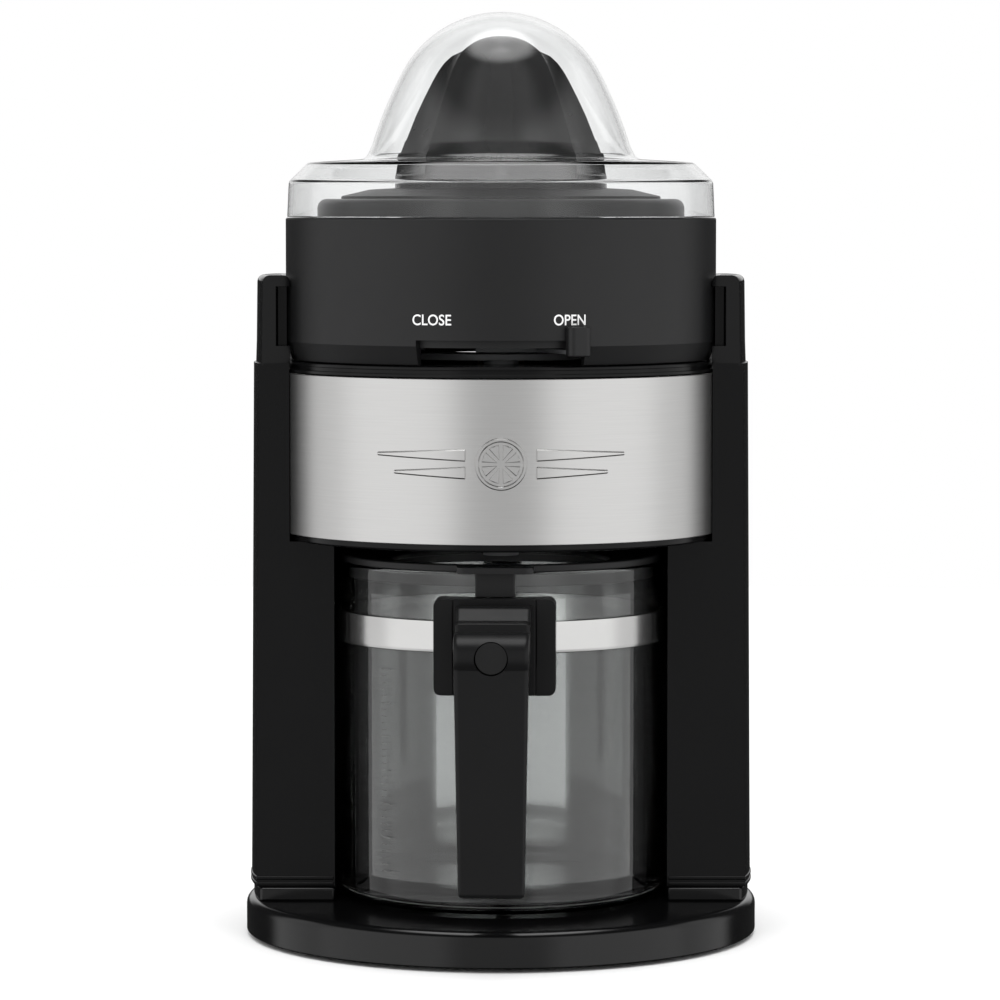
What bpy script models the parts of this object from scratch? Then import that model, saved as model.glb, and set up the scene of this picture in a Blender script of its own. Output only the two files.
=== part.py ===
"""Citrus press juicer: motor column, juice bowl, pulp basket, reamer, dust cover and glass carafe.

All sizes are in millimetres, and new_object turns them into metres. The juicer stands on
z = 0 and faces -Y. Its main axis is vertical and lies a little behind the origin, so that
the origin is under the middle of the whole object, handle included. Angles about the main
axis are measured from the front (-Y) and grow towards +X.
"""
import math

import bmesh
import bpy
from mathutils import Matrix

# ---------------------------------------------------------------- driving sizes
MM = 0.001
GAP = 0.3                      # air between pieces that touch or seat on each other
ROUND = 32                     # steps of a large circle
SMALL_ROUND = 12               # steps of a small circle

BASE_RADIUS = 96.4
BASE_BOTTOM = 1.5              # the rim hangs this high over the table
TRAY_Z = 15.0
TRAY_TOP_WALL = 2.8
RIM_ROUND = 3.5
SHELL_WALL = 2.5
PLINTH_HEIGHT = 5.0
PLATE_THICK = 4.0

COLUMN_INSET = 1.9             # base rim to column foot
COLUMN_TAPER = 1.5             # the column's radius shrinks by this up to its shoulder
PILLAR_FRONT = -24.0           # plane of the two front faces
PILLAR_SPLIT = 35.0            # plane where the side pillars meet the rear cover
PILLAR_WIDTH = 32.3            # column outside to bay wall
BAND_INSET = 12.5              # column foot radius to steel band
EAR_HEIGHT = 32.7
EAR_INSET = 1.4
EAR_HALF = 24.0

CARAFE_Y = -5.0
CARAFE_CLEARANCE = 2.0
CARAFE_HEIGHT = 126.0
CARAFE_TURN = -1.9             # degrees, the handle points a little to the left
GLASS_WALL = 2.5
GLASS_FLOOR = 6.0
GLASS_CORNER = 8.0
CARAFE_BAND_THICK = 0.9
CARAFE_BAND_LOW = 96.5         # over the glass's foot
CARAFE_BAND_HEIGHT = 11.8
LID_THICK = 2.7
LID_OPENING = 41.0
LID_CLEARANCE = 5.6            # lid to the underside of the motor housing

BAND_HEIGHT = 60.0
BAND_THICK = 1.4
MOTOR_FLOOR = 2.3
DECK_THICK = 3.9
BOWL_HEIGHT = 53.0
BOWL_WALL = 3.9
BOWL_CHAMFER = 2.3
BOWL_CHAMFER_HEIGHT = 7.0
BOWL_FLOOR_RISE = 6.5          # skirt below the bowl's floor
BOWL_FLOOR = 2.5
CHIMNEY_RADIUS = 11.0
CHIMNEY_BORE = 8.5
LEDGE_DEPTH = 1.8
LEDGE_WIDTH = 1.6

BASKET_INSET = 11.9            # bowl outside to basket rim
BASKET_PROUD = 7.0             # basket rim over bowl rim
BASKET_DEPTH = 35.0
BASKET_TAPER = 6.0
BASKET_WALL = 2.2
BASKET_SLOTS = 12

SHAFT_RADIUS = 4.0
SHAFT_FIT = 0.4
SPOUT_Y = -37.0
SPOUT_RADIUS = 6.5
SPOUT_BORE = 5.0
WELL_RADIUS = 10.5
WELL_WALL = 1.9

LEVER_ANGLE = 19.6             # the lever stands at OPEN on the right
SLOT_HALF_ANGLE = 22.3         # clear of the corners of a large circle
SHUTTER_THICK = 2.0
KNOB_WIDTH = 8.9
KNOB_HEIGHT = 10.8
KNOB_DEPTH = 4.2

REAMER_RADIUS = 39.8
REAMER_HEIGHT = 53.0           # skirt edge to apex
SWEEPER_WALL = 2.0
SOCKET_RADIUS = 7.5            # the reamer's socket over the drive shaft
REAMER_SKIRT = 12.0            # plain band hidden in the sweeper
RIB_COUNT = 8
RIB_DEPTH = 0.15
SWEEPER_REACH = 20.2           # how far the sweeper's skirt spreads past the reamer

COVER_WALL = 2.0
COVER_RIM_INSET = 0.6
DOME_RADIUS = 41.8
DOME_TURN = 62.0
DOME_SIDE_RADIUS = 156.0
DOME_SIDE_TURN = 11.0
DOME_CLEARANCE = 9.0           # dome top over the reamer's apex

MOTOR_RADIUS = 19.5
MOTOR_Y = 34.0
IDLER_AT = (20.0, 18.0)
PINION_PITCH = 5.0
PINION_TEETH = 8
GEAR_WIDTH = 5.0
GEAR_PLATE_THICK = 3.0
GEAR_STACK = 28.5              # deck down to the lower gearbox plate

FOOT_RADIUS = 8.0
FOOT_INSET = 22.4
FOOT_HEIGHT = 3.0
SCREW_RADIUS = 1.6

BRACKET_HALF = 22.1
BRACKET_LOW = 82.5             # over the glass's foot
BRACKET_HEIGHT = 35.0
BRACKET_DEPTH = 12.0
GRIP_HALF_TOP = 13.7
GRIP_HALF_LOW = 11.8
GRIP_REACH = 49.0              # glass to the front of the grip
GRIP_LOW = 14.0                # over the glass's foot
GRIP_THICK = 7.5
BULGE_RADIUS = 8.6

# ---------------------------------------------------------------- sizes that follow
COLUMN_RADIUS = BASE_RADIUS - COLUMN_INSET
COLUMN_Z = TRAY_Z + PLINTH_HEIGHT + GAP
BAY_HALF = COLUMN_RADIUS - PILLAR_WIDTH
GLASS_RADIUS = BAY_HALF - CARAFE_CLEARANCE
GLASS_Z = TRAY_Z + 0.5
GLASS_TOP = GLASS_Z + CARAFE_HEIGHT
LID_Z = GLASS_TOP + GAP
HOUSING_Z = LID_Z + LID_THICK + LID_CLEARANCE
MOTOR_Z = HOUSING_Z + MOTOR_FLOOR
BAND_Z = HOUSING_Z + 2.5
BAND_RADIUS = COLUMN_RADIUS - BAND_INSET
SHELL_RADIUS = BAND_RADIUS - BAND_THICK - GAP
SHELL_TOP = BAND_Z + BAND_HEIGHT
DECK_Z = SHELL_TOP + GAP
DECK_TOP = DECK_Z + DECK_THICK
DECK_RADIUS = BAND_RADIUS - 1.0
SHOULDER_Z = DECK_TOP - 0.6

BOWL_Z = DECK_TOP + 0.4
BOWL_RADIUS = BAND_RADIUS - 1.1
BOWL_FLOOR_Z = BOWL_Z + BOWL_FLOOR_RISE
BOWL_INSIDE = BOWL_RADIUS - BOWL_WALL
BOWL_RIM = BOWL_Z + BOWL_HEIGHT
LEDGE_RADIUS = BOWL_INSIDE + LEDGE_WIDTH

BASKET_RIM = BOWL_RIM + BASKET_PROUD
BASKET_RADIUS = BOWL_RADIUS - BASKET_INSET
BASKET_Z = BASKET_RIM - BASKET_DEPTH
BASKET_FLOOR = BASKET_Z + 2.0
COLLAR_BORE = SHAFT_RADIUS + 1.5
COLLAR_RADIUS = COLLAR_BORE + 3.0
COLLAR_TOP = BASKET_FLOOR + 6.0

SWEEPER_Z = BASKET_RIM - 15.0
SWEEPER_TOP = BASKET_RIM + 4.0
SWEEPER_BORE = REAMER_RADIUS + 0.5
SOCKET_Z = SWEEPER_Z - 8.0

REAMER_Z = SWEEPER_TOP + 4.0
APEX_Z = REAMER_Z + REAMER_HEIGHT
SHAFT_TOP = SWEEPER_Z
COVER_TOP = APEX_Z + DOME_CLEARANCE
COVER_RADIUS = BOWL_RADIUS - COVER_RIM_INSET

SHUTTER_Z = BOWL_FLOOR_Z - SHUTTER_THICK - 0.7
OUTLET_PLATE_Z = SHUTTER_Z - 2.1
LEVER_REACH = BOWL_RADIUS + 0.1
GEAR_Z = DECK_Z - GEAR_STACK

GRIP_FRONT = GLASS_RADIUS + GRIP_REACH
HANDLE_OVERHANG = (GRIP_FRONT * math.cos(math.radians(CARAFE_TURN))
                   + GRIP_HALF_TOP * math.sin(math.radians(-CARAFE_TURN)) - CARAFE_Y)
AXIS_Y = (HANDLE_OVERHANG - BASE_RADIUS) / 2


# ---------------------------------------------------------------- building blocks
def clear_scene():
    for thing in list(bpy.data.objects):
        bpy.data.objects.remove(thing, do_unlink=True)


def material(name, colour, roughness, metallic=0.0):
    made = bpy.data.materials.new(name)
    made.use_nodes = True
    shader = made.node_tree.nodes["Principled BSDF"]
    shader.inputs["Base Color"].default_value = (*colour, 1.0)
    shader.inputs["Roughness"].default_value = roughness
    shader.inputs["Metallic"].default_value = metallic
    return made


def pivot(name, x, y, z=0.0, parent=None, turn=0.0):
    """An empty that stands on a joint's axis or carries a group of pieces."""
    empty = bpy.data.objects.new(name, None)
    bpy.context.collection.objects.link(empty)
    empty.location = (x * MM, y * MM, z * MM)
    empty.rotation_euler[2] = math.radians(turn)
    empty.parent = parent
    return empty


def new_object(name, mesh_maker, finish, parent, smooth=True):
    """mesh_maker fills an empty bmesh in millimetres."""
    work = bmesh.new()
    mesh_maker(work)
    bmesh.ops.recalc_face_normals(work, faces=work.faces)
    bmesh.ops.scale(work, vec=(MM, MM, MM), verts=work.verts)
    mesh = bpy.data.meshes.new(name)
    work.to_mesh(mesh)
    work.free()
    if smooth:
        mesh.shade_smooth()
        mesh.set_sharp_from_angle(angle=math.radians(35))
    mesh.materials.append(finish)
    piece = bpy.data.objects.new(name, mesh)
    bpy.context.collection.objects.link(piece)
    piece.parent = parent
    return piece


def add_turned(work, profile, steps, x=0.0, y=0.0):
    """Turn (radius, z) points about a vertical line; a profile off the line is a closed loop."""
    rings = []
    for radius, z in profile:
        if radius == 0:
            rings.append([work.verts.new((x, y, z))])
            continue
        ring = []
        for k in range(steps):
            angle = 2 * math.pi * k / steps
            ring.append(work.verts.new((x + radius * math.cos(angle), y + radius * math.sin(angle), z)))
        rings.append(ring)
    pairs = list(zip(rings, rings[1:]))
    if profile[0][0] > 0:
        pairs.append((rings[-1], rings[0]))
    for low, high in pairs:
        for k in range(steps):
            corners = [low[k % len(low)], low[(k + 1) % len(low)],
                       high[(k + 1) % len(high)], high[k % len(high)]]
            unique = list(dict.fromkeys(corners))
            if len(unique) > 2:
                work.faces.new(unique)


def add_loft(work, levels):
    """Join outlines of (x, y) points that lie at rising heights: [(z, outline), ...]."""
    rings = [[work.verts.new((x, y, z)) for x, y in outline] for z, outline in levels]
    for low, high in zip(rings, rings[1:]):
        count = len(low)
        for k in range(count):
            work.faces.new((low[k], low[(k + 1) % count], high[(k + 1) % count], high[k]))
    work.faces.new(rings[0])
    work.faces.new(list(reversed(rings[-1])))


def add_box(work, x0, x1, y0, y1, z0, z1):
    add_loft(work, [(z0, [(x0, y0), (x1, y0), (x1, y1), (x0, y1)]),
                    (z1, [(x0, y0), (x1, y0), (x1, y1), (x0, y1)])])


def turned(name, profile, finish, parent, steps=ROUND, x=0.0, y=0.0):
    return new_object(name, lambda work: add_turned(work, profile, steps, x, y), finish, parent)


def loft(name, levels, finish, parent):
    return new_object(name, lambda work: add_loft(work, levels), finish, parent)


def prism(name, outline, z0, z1, finish, parent):
    return loft(name, [(z0, outline), (z1, outline)], finish, parent)


def rod(name, radius, z0, z1, finish, parent, x=0.0, y=0.0, steps=SMALL_ROUND):
    return turned(name, [(0, z0), (radius, z0), (radius, z1), (0, z1)], finish, parent, steps, x, y)


def as_tool(tool):
    tool.display_type = "WIRE"
    tool.hide_render = True
    return tool


def combine(target, tool, operation):
    step = target.modifiers.new(operation.lower() + "_" + tool.name, "BOOLEAN")
    step.operation = operation
    step.object = as_tool(tool)
    return target


def cut(target, tool):
    return combine(target, tool, "DIFFERENCE")


def unite(target, tool):
    return combine(target, tool, "UNION")


# ---------------------------------------------------------------- outlines
def from_front(radius, degrees):
    """The point at an angle from the front of the main axis, positive towards +X."""
    angle = math.radians(degrees)
    return radius * math.sin(angle), -radius * math.cos(angle)


def arc(radius, first, last, steps, centre_y=0.0):
    """Points on a circle, by angle from the front."""
    points = []
    for k in range(steps + 1):
        x, y = from_front(radius, first + (last - first) * k / steps)
        points.append((x, y + centre_y))
    return points


def sector(inner, outer, first, last, steps):
    return arc(outer, first, last, steps) + arc(inner, last, first, steps)


def angle_at(radius, y):
    """Angle from the front at which a circle reaches the plane y."""
    return math.degrees(math.acos(-y / radius))


def bay_outline(half, front):
    """The bay for the carafe: straight walls and a round back, open to the front."""
    return [(half, front)] + arc(half, 90, 270, ROUND // 2, CARAFE_Y) + [(-half, front)]


def column_radius(z):
    share = (z - COLUMN_Z) / (SHOULDER_Z - COLUMN_Z)
    return COLUMN_RADIUS - COLUMN_TAPER * share


def gear_outline(pitch):
    """Teeth in proportion to the pinion's, whose tips stop just short of the pitch circle."""
    teeth = round(PINION_TEETH * pitch / PINION_PITCH)
    tip = pitch - 0.2
    root = tip - 1.6
    points = []
    for k in range(teeth):
        for part, radius in ((0.0, root), (0.35, tip), (0.65, tip)):
            angle = 2 * math.pi * (k + part) / teeth
            points.append((radius * math.cos(angle), radius * math.sin(angle)))
    return points


def walk(start, heading, bends, steps):
    """Points along arcs that follow each other smoothly; heading is degrees below level."""
    r, z = start
    points = [start]
    for radius, turn in bends:
        for _ in range(steps):
            part = turn / steps
            middle = math.radians(heading + part / 2)
            chord = 2 * radius * math.sin(math.radians(part / 2))
            r += chord * math.cos(middle)
            z -= chord * math.sin(middle)
            heading += part
            points.append((r, z))
    return points


def inset(points, wall):
    """The (r, z) line moved inwards by the wall, for an open line from the axis outwards."""
    moved = []
    for k, (r, z) in enumerate(points):
        before = points[max(k - 1, 0)]
        after = points[min(k + 1, len(points) - 1)]
        first = math.atan2(z - before[1], r - before[0]) if k else None
        second = math.atan2(after[1] - z, after[0] - r) if k < len(points) - 1 else None
        if first is None:
            first = second
        if second is None:
            second = first
        middle = (first + second) / 2
        reach = wall / math.cos((second - first) / 2)
        moved.append((max(r + reach * math.sin(middle), 0), z - reach * math.cos(middle)))
    return moved


# ---------------------------------------------------------------- base
def screw_places():
    return [from_front(BASE_RADIUS - FOOT_INSET, 90 * k) for k in range(4)]


def foot_places():
    return [from_front(BASE_RADIUS - FOOT_INSET, 45 + 90 * k) for k in range(4)]


def add_rods(work, places, radius, z0, z1):
    for x, y in places:
        add_turned(work, [(0, z0), (radius, z0), (radius, z1), (0, z1)], SMALL_ROUND, x, y)


def make_base(finishes, juicer):
    black = finishes["satin_black"]
    inside = BASE_RADIUS - SHELL_WALL
    under = TRAY_Z - TRAY_TOP_WALL
    round_edge = [(BASE_RADIUS - RIM_ROUND * (1 - math.sin(math.radians(a))),
                   TRAY_Z - RIM_ROUND * (1 - math.cos(math.radians(a)))) for a in (0, 30, 60, 90)]
    profile = [(0, TRAY_Z)] + round_edge + [(BASE_RADIUS, BASE_BOTTOM), (inside, BASE_BOTTOM),
                                            (inside, under), (0, under)]
    tray = turned("base_tray", profile, black, juicer)
    foot = COLUMN_RADIUS - 1.0
    front = PILLAR_FRONT - 2.0
    front_angle = angle_at(foot, front)
    outline = arc(foot, front_angle, 360 - front_angle, ROUND) + list(reversed(bay_outline(BAY_HALF, front)))
    plinth = prism("plinth_tool", outline, TRAY_Z - 1.5, TRAY_Z + PLINTH_HEIGHT, black, juicer)
    unite(tray, plinth)
    plate_top = BASE_BOTTOM + PLATE_THICK
    bosses = new_object("boss_tool", lambda work: add_rods(work, screw_places(), 5.0,
                                                           plate_top + GAP, under + 1.0), black, juicer)
    unite(tray, bosses)
    bores = new_object("bore_tool", lambda work: add_rods(work, screw_places(), SCREW_RADIUS + GAP,
                                                          plate_top, under - 0.4), black, juicer)
    cut(tray, bores)

    plate = turned("base_plate", [(0, BASE_BOTTOM), (inside - GAP, BASE_BOTTOM),
                                  (inside - GAP, plate_top), (0, plate_top)], black, juicer)
    pockets = new_object("pocket_tool", lambda work: add_rods(work, foot_places(), FOOT_RADIUS + GAP,
                                                              0, FOOT_HEIGHT + GAP), black, juicer)
    cut(plate, pockets)
    heads = new_object("head_tool", lambda work: add_rods(work, screw_places(), 4.0, 0,
                                                          BASE_BOTTOM + 2.4), black, juicer)
    cut(plate, heads)
    holes = new_object("hole_tool", lambda work: add_rods(work, screw_places(), SCREW_RADIUS + GAP,
                                                          1.0, plate_top + 1.0), black, juicer)
    cut(plate, holes)
    for k, (x, y) in enumerate(foot_places()):
        rod(f"foot_{k + 1}", FOOT_RADIUS, 0, FOOT_HEIGHT, finishes["rubber"], juicer, x, y)
    head_z = BASE_BOTTOM + 0.2
    for k, (x, y) in enumerate(screw_places()):
        shape = [(0, head_z), (3.5, head_z), (3.5, head_z + 1.9), (SCREW_RADIUS, head_z + 1.9),
                 (SCREW_RADIUS, under - 0.8), (0, under - 0.8)]
        turned(f"base_screw_{k + 1}", shape, finishes["steel"], juicer, SMALL_ROUND, x, y)


# ---------------------------------------------------------------- column
def pillar_block(side, finishes, juicer):
    """The solid of one side pillar, before it is hollowed; side is +1 on the right."""
    def outline(z):
        radius = column_radius(z)
        first = angle_at(radius, PILLAR_FRONT)
        last = angle_at(radius, PILLAR_SPLIT)
        points = arc(radius, first, last, 10) + [(BAY_HALF, PILLAR_SPLIT), (BAY_HALF, PILLAR_FRONT)]
        return [(side * x, y) for x, y in points]

    name = "right_pillar" if side > 0 else "left_pillar"
    return loft(name, [(COLUMN_Z, outline(COLUMN_Z)), (SHOULDER_Z, outline(SHOULDER_Z))],
                finishes["gloss_black"], juicer)


def make_pillar(side, finishes, juicer):
    black = finishes["gloss_black"]
    pillar = pillar_block(side, finishes, juicer)
    seat = BAND_RADIUS + GAP
    rod_tool = rod(pillar.name + "_motor_tool", seat, HOUSING_Z - GAP, SHOULDER_Z + 5,
                   black, juicer, steps=2 * ROUND)
    cut(pillar, rod_tool)

    def hollow(z):
        radius = column_radius(z) - SHELL_WALL
        first = angle_at(radius, PILLAR_FRONT + SHELL_WALL)
        last = angle_at(radius, PILLAR_SPLIT + 1)
        points = arc(radius, first, last, 10) + [(BAY_HALF - 1, PILLAR_SPLIT + 1),
                                                 (BAY_HALF - 1, PILLAR_FRONT + SHELL_WALL)]
        return [(side * x, y) for x, y in points]

    top = HOUSING_Z + 2
    cut(pillar, loft(pillar.name + "_hollow_tool", [(COLUMN_Z - 1, hollow(COLUMN_Z)), (top, hollow(top))],
                     black, juicer))
    ear_outer = column_radius(SHOULDER_Z) - EAR_INSET
    ear_inner = BAND_RADIUS - 0.7
    ear_first = math.degrees(math.asin(EAR_HALF / ear_outer))
    ear_shape = [(side * x, y) for x, y in sector(ear_inner, ear_outer, 90 - ear_first, 90 + ear_first, 8)]
    ear = prism(pillar.name + "_ear_tool", ear_shape, SHOULDER_Z - 1.5, SHOULDER_Z + EAR_HEIGHT, black,
                juicer)
    unite(pillar, ear)
    groove = new_object(pillar.name + "_groove_tool", lambda work: add_box(
        work, *sorted((side * (ear_inner - 2), side * (ear_inner + 2.2))), -2.0, 2.0,
        SHOULDER_Z + 3, SHOULDER_Z + EAR_HEIGHT + 1), black, juicer)
    cut(pillar, groove)


def make_rear(finishes, juicer):
    black = finishes["gloss_black"]
    top = HOUSING_Z - GAP
    inner = bay_outline(BAY_HALF, PILLAR_FRONT + SHELL_WALL + GAP)
    outer = bay_outline(BAY_HALF + SHELL_WALL, PILLAR_FRONT + SHELL_WALL + GAP)
    prism("rear_wall", outer + list(reversed(inner)), COLUMN_Z, top, black, juicer)

    def wall(z, outer_offset, inner_radius, over):
        radius = column_radius(z) - outer_offset
        first = angle_at(radius, PILLAR_SPLIT + GAP - over)
        inner_first = angle_at(inner_radius, PILLAR_SPLIT + GAP - over)
        return arc(radius, first, 360 - first, 20) + arc(inner_radius, 360 - inner_first, inner_first, 20)

    seat = BAND_RADIUS + GAP
    cover = loft("rear_cover", [(z, wall(z, 0, seat, 0)) for z in (COLUMN_Z, SHOULDER_Z)], black, juicer)
    ceiling = SHOULDER_Z - SHELL_WALL
    cut(cover, loft("rear_hollow_tool", [(z, wall(z, SHELL_WALL, seat - 2, 4))
                                         for z in (COLUMN_Z - 1, ceiling)], black, juicer))
    gland_z = COLUMN_Z + 13
    outside = column_radius(gland_z)
    hole = rod("gland_tool", 6.0, -8, 8, black, juicer)
    hole.rotation_euler[0] = math.radians(-90)
    hole.location = (0, outside * MM, gland_z * MM)
    cut(cover, hole)
    flange = (BASE_RADIUS - outside) - 0.1
    profile = [(3.6, -5.5), (5.7, -5.5), (5.7, 0.4), (8.0, 0.4), (8.0, flange), (3.6, flange)]
    gland = turned("cord_grommet", profile, finishes["rubber"], juicer, SMALL_ROUND)
    gland.rotation_euler[0] = math.radians(-90)
    gland.location = (0, outside * MM, gland_z * MM)


# ---------------------------------------------------------------- motor housing
def make_motor_housing(finishes, juicer):
    black = finishes["gloss_black"]
    inside = SHELL_RADIUS - 2.4
    shell = turned("motor_shell", [(0, HOUSING_Z), (SHELL_RADIUS, HOUSING_Z), (SHELL_RADIUS, SHELL_TOP),
                                   (inside, SHELL_TOP), (inside, MOTOR_Z), (0, MOTOR_Z)], black, juicer)
    well_bore = WELL_RADIUS - WELL_WALL
    cut(shell, rod("shell_spout_tool", well_bore, HOUSING_Z - 2, MOTOR_Z + 2, black, juicer, y=SPOUT_Y))

    prism("steel_band", sector(BAND_RADIUS - BAND_THICK, BAND_RADIUS, -80, 80, 24),
          BAND_Z, SHELL_TOP, finishes["brushed_steel"], juicer)

    bush_radius = SHAFT_RADIUS + SHAFT_FIT + 2.4
    bush_seat = bush_radius + GAP
    deck = turned("motor_deck", [(bush_seat, DECK_Z), (DECK_RADIUS, DECK_Z), (DECK_RADIUS, DECK_TOP),
                                 (bush_seat, DECK_TOP)], black, juicer)
    cut(deck, rod("deck_spout_tool", well_bore, DECK_Z - 2, DECK_TOP + 2, black, juicer, y=SPOUT_Y))

    turned("spout_well", [(well_bore, MOTOR_Z + GAP), (WELL_RADIUS, MOTOR_Z + GAP),
                          (WELL_RADIUS, DECK_Z - GAP), (well_bore, DECK_Z - GAP)],
           finishes["grey_plastic"], juicer, SMALL_ROUND, 0.0, SPOUT_Y)
    bore = SHAFT_RADIUS + SHAFT_FIT
    bush_top = DECK_TOP + 1.6
    turned("shaft_bush_upper", [(bore, DECK_Z - 2), (bush_radius, DECK_Z - 2), (bush_radius, DECK_TOP + GAP),
                                (bush_radius + 2, DECK_TOP + GAP), (bush_radius + 2, bush_top),
                                (bore, bush_top)], finishes["brass"], juicer, SMALL_ROUND)
    seal_z = bush_top + GAP
    turned("shaft_seal", [(bore, seal_z), (bush_radius + 2, seal_z), (bush_radius, seal_z + 2.2),
                          (bore, seal_z + 2.2)], finishes["rubber"], juicer, SMALL_ROUND)


def plate_corners():
    return [(30, 42), (-22, 42), (30, -16), (-22, -16)]


def make_gearbox(finishes, juicer):
    grey = finishes["grey_plastic"]
    bush_hole = SHAFT_RADIUS + SHAFT_FIT + 2.1 + GAP
    low_top = GEAR_Z + GEAR_PLATE_THICK
    high_z = DECK_Z - 7.0
    lower = new_object("gearbox_lower", lambda work: add_box(work, -26, 34, -20, 46, GEAR_Z, low_top),
                       grey, juicer, False)
    unite(lower, new_object("lower_leg_tool", lambda work: add_rods(
        work, plate_corners(), 3.0, MOTOR_Z + GAP, GEAR_Z + 1), grey, juicer))
    cut(lower, rod("lower_bush_tool", bush_hole, GEAR_Z - 2, low_top + 2, grey, juicer))
    cut(lower, new_object("lower_pin_tool", lambda work: add_rods(
        work, [IDLER_AT, (0, MOTOR_Y)], 2.3, GEAR_Z - 2, low_top + 2), grey, juicer))

    upper = new_object("gearbox_upper", lambda work: add_box(work, -26, 34, -20, 46, high_z, high_z + 2),
                       grey, juicer, False)
    unite(upper, new_object("upper_leg_tool", lambda work: add_rods(
        work, plate_corners(), 3.0, low_top + GAP, high_z + 1), grey, juicer))
    cut(upper, new_object("upper_hole_tool", lambda work: add_rods(
        work, [(0, 0)], SHAFT_RADIUS + 0.8, high_z - 2, high_z + 4), grey, juicer))
    cut(upper, new_object("upper_pin_tool", lambda work: add_rods(
        work, [IDLER_AT], 2.3, high_z - 2, high_z + 4), grey, juicer))

    rod("idler_pin", 2.0, GEAR_Z - 2, high_z + 2.5, finishes["steel"], juicer, *IDLER_AT, steps=12)
    bore = SHAFT_RADIUS + SHAFT_FIT
    turned("shaft_bush_lower", [(bore, GEAR_Z - 1), (bush_hole - GAP, GEAR_Z - 1),
                                (bush_hole - GAP, low_top + 1), (bore, low_top + 1)],
           finishes["brass"], juicer, SMALL_ROUND)

    wall = 3.5
    can_z = MOTOR_Z + 0.6
    can_top = GEAR_Z - 3
    turned("motor_stator", [(0, can_z), (MOTOR_RADIUS, can_z), (MOTOR_RADIUS, can_top),
                            (MOTOR_RADIUS - wall, can_top), (MOTOR_RADIUS - wall, can_z + 2),
                            (0, can_z + 2)], finishes["steel"], juicer, 24, 0, MOTOR_Y)

    box_top = MOTOR_Z + 8.7
    switch = new_object("micro_switch", lambda work: add_box(work, -15, -4.6, -4, 4, MOTOR_Z + GAP, box_top),
                        finishes["satin_black"], juicer, False)
    cut(switch, rod("plunger_tool", 1.9, box_top - 5.5, box_top + 2, grey, juicer, x=-7.2, steps=12))
    block = new_object("terminal_block", lambda work: add_box(
        work, -52, -40, -9, 9, MOTOR_Z + GAP, MOTOR_Z + 9), grey, juicer, False)
    cut(block, new_object("terminal_tool", lambda work: add_rods(
        work, [(-46, -6), (-46, 0), (-46, 6)], 1.8, MOTOR_Z + 4, MOTOR_Z + 12), grey, juicer))


def make_drive(finishes, juicer):
    """Rotor, gears, shaft, spring and switch plunger, each group on its own axis."""
    steel = finishes["steel"]
    idler_reach = math.hypot(*IDLER_AT)
    wheel_pitch = math.hypot(IDLER_AT[0], IDLER_AT[1] - MOTOR_Y) - PINION_PITCH
    output_pitch = idler_reach - PINION_PITCH
    wheel_z = GEAR_Z + GEAR_PLATE_THICK + 2.5
    second_z = wheel_z + GEAR_WIDTH + 1.5

    rotor_axis = pivot("rotor_axis", 0, MOTOR_Y, parent=juicer)
    low = MOTOR_Z + 3.2
    rotor = turned("motor_rotor", [(0, low), (2, low), (2, low + 1.2), (14.8, low + 1.2), (14.8, GEAR_Z - 4),
                                   (1.9, GEAR_Z - 4), (1.9, wheel_z), (0, wheel_z)], steel, rotor_axis, 24)
    unite(rotor, prism("pinion_tool", gear_outline(PINION_PITCH), wheel_z - 1, wheel_z + GEAR_WIDTH,
                       steel, rotor_axis))

    idler_axis = pivot("idler_axis", *IDLER_AT, parent=juicer)
    idler = prism("idler_gear", gear_outline(wheel_pitch), wheel_z, wheel_z + GEAR_WIDTH,
                  finishes["white_plastic"], idler_axis)
    unite(idler, prism("idler_pinion_tool", gear_outline(PINION_PITCH), wheel_z + 1,
                       second_z + GEAR_WIDTH + 0.5, steel, idler_axis))
    cut(idler, rod("idler_bore_tool", 2.3, wheel_z - 2, second_z + 10, steel, idler_axis, steps=12))

    output_axis = pivot("output_axis", 0, 0, parent=juicer)
    output = prism("output_gear", gear_outline(output_pitch), second_z, second_z + GEAR_WIDTH,
                   finishes["white_plastic"], output_axis)
    bore = SHAFT_RADIUS + SHAFT_FIT
    cut(output, rod("output_bore_tool", bore, second_z - 2, second_z + 10, steel, output_axis))

    flange_z = MOTOR_Z + 13.2
    turned("drive_shaft", [(0, flange_z), (9, flange_z), (9, flange_z + 2.2), (SHAFT_RADIUS, flange_z + 2.2),
                           (SHAFT_RADIUS, SHAFT_TOP), (0, SHAFT_TOP)], steel, output_axis, SMALL_ROUND)
    rod("switch_plunger", 1.5, MOTOR_Z + 6.8, flange_z - GAP, finishes["white_plastic"],
        pivot("plunger_axis", -7.2, 0, parent=juicer), steps=12)
    make_spring(MOTOR_Z + 0.7, flange_z - 0.7, steel, output_axis)


def make_spring(low, high, finish, parent):
    """A compression coil of round wire under the shaft's flange."""
    coil_radius = 3.1
    turns = 4
    steps = 8
    curve = bpy.data.curves.new("return_spring", "CURVE")
    curve.dimensions = "3D"
    curve.bevel_depth = 0.45 * MM
    curve.bevel_resolution = 0
    curve.use_fill_caps = True
    line = curve.splines.new("POLY")
    count = turns * steps
    line.points.add(count)
    for k in range(count + 1):
        angle = 2 * math.pi * k / steps
        z = low + (high - low) * k / count
        across = coil_radius * math.cos(angle) * MM
        depth = coil_radius * math.sin(angle) * MM
        line.points[k].co = (across, depth, z * MM, 1)
    curve.materials.append(finish)
    spring = bpy.data.objects.new("return_spring", curve)
    bpy.context.collection.objects.link(spring)
    spring.parent = parent


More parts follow.
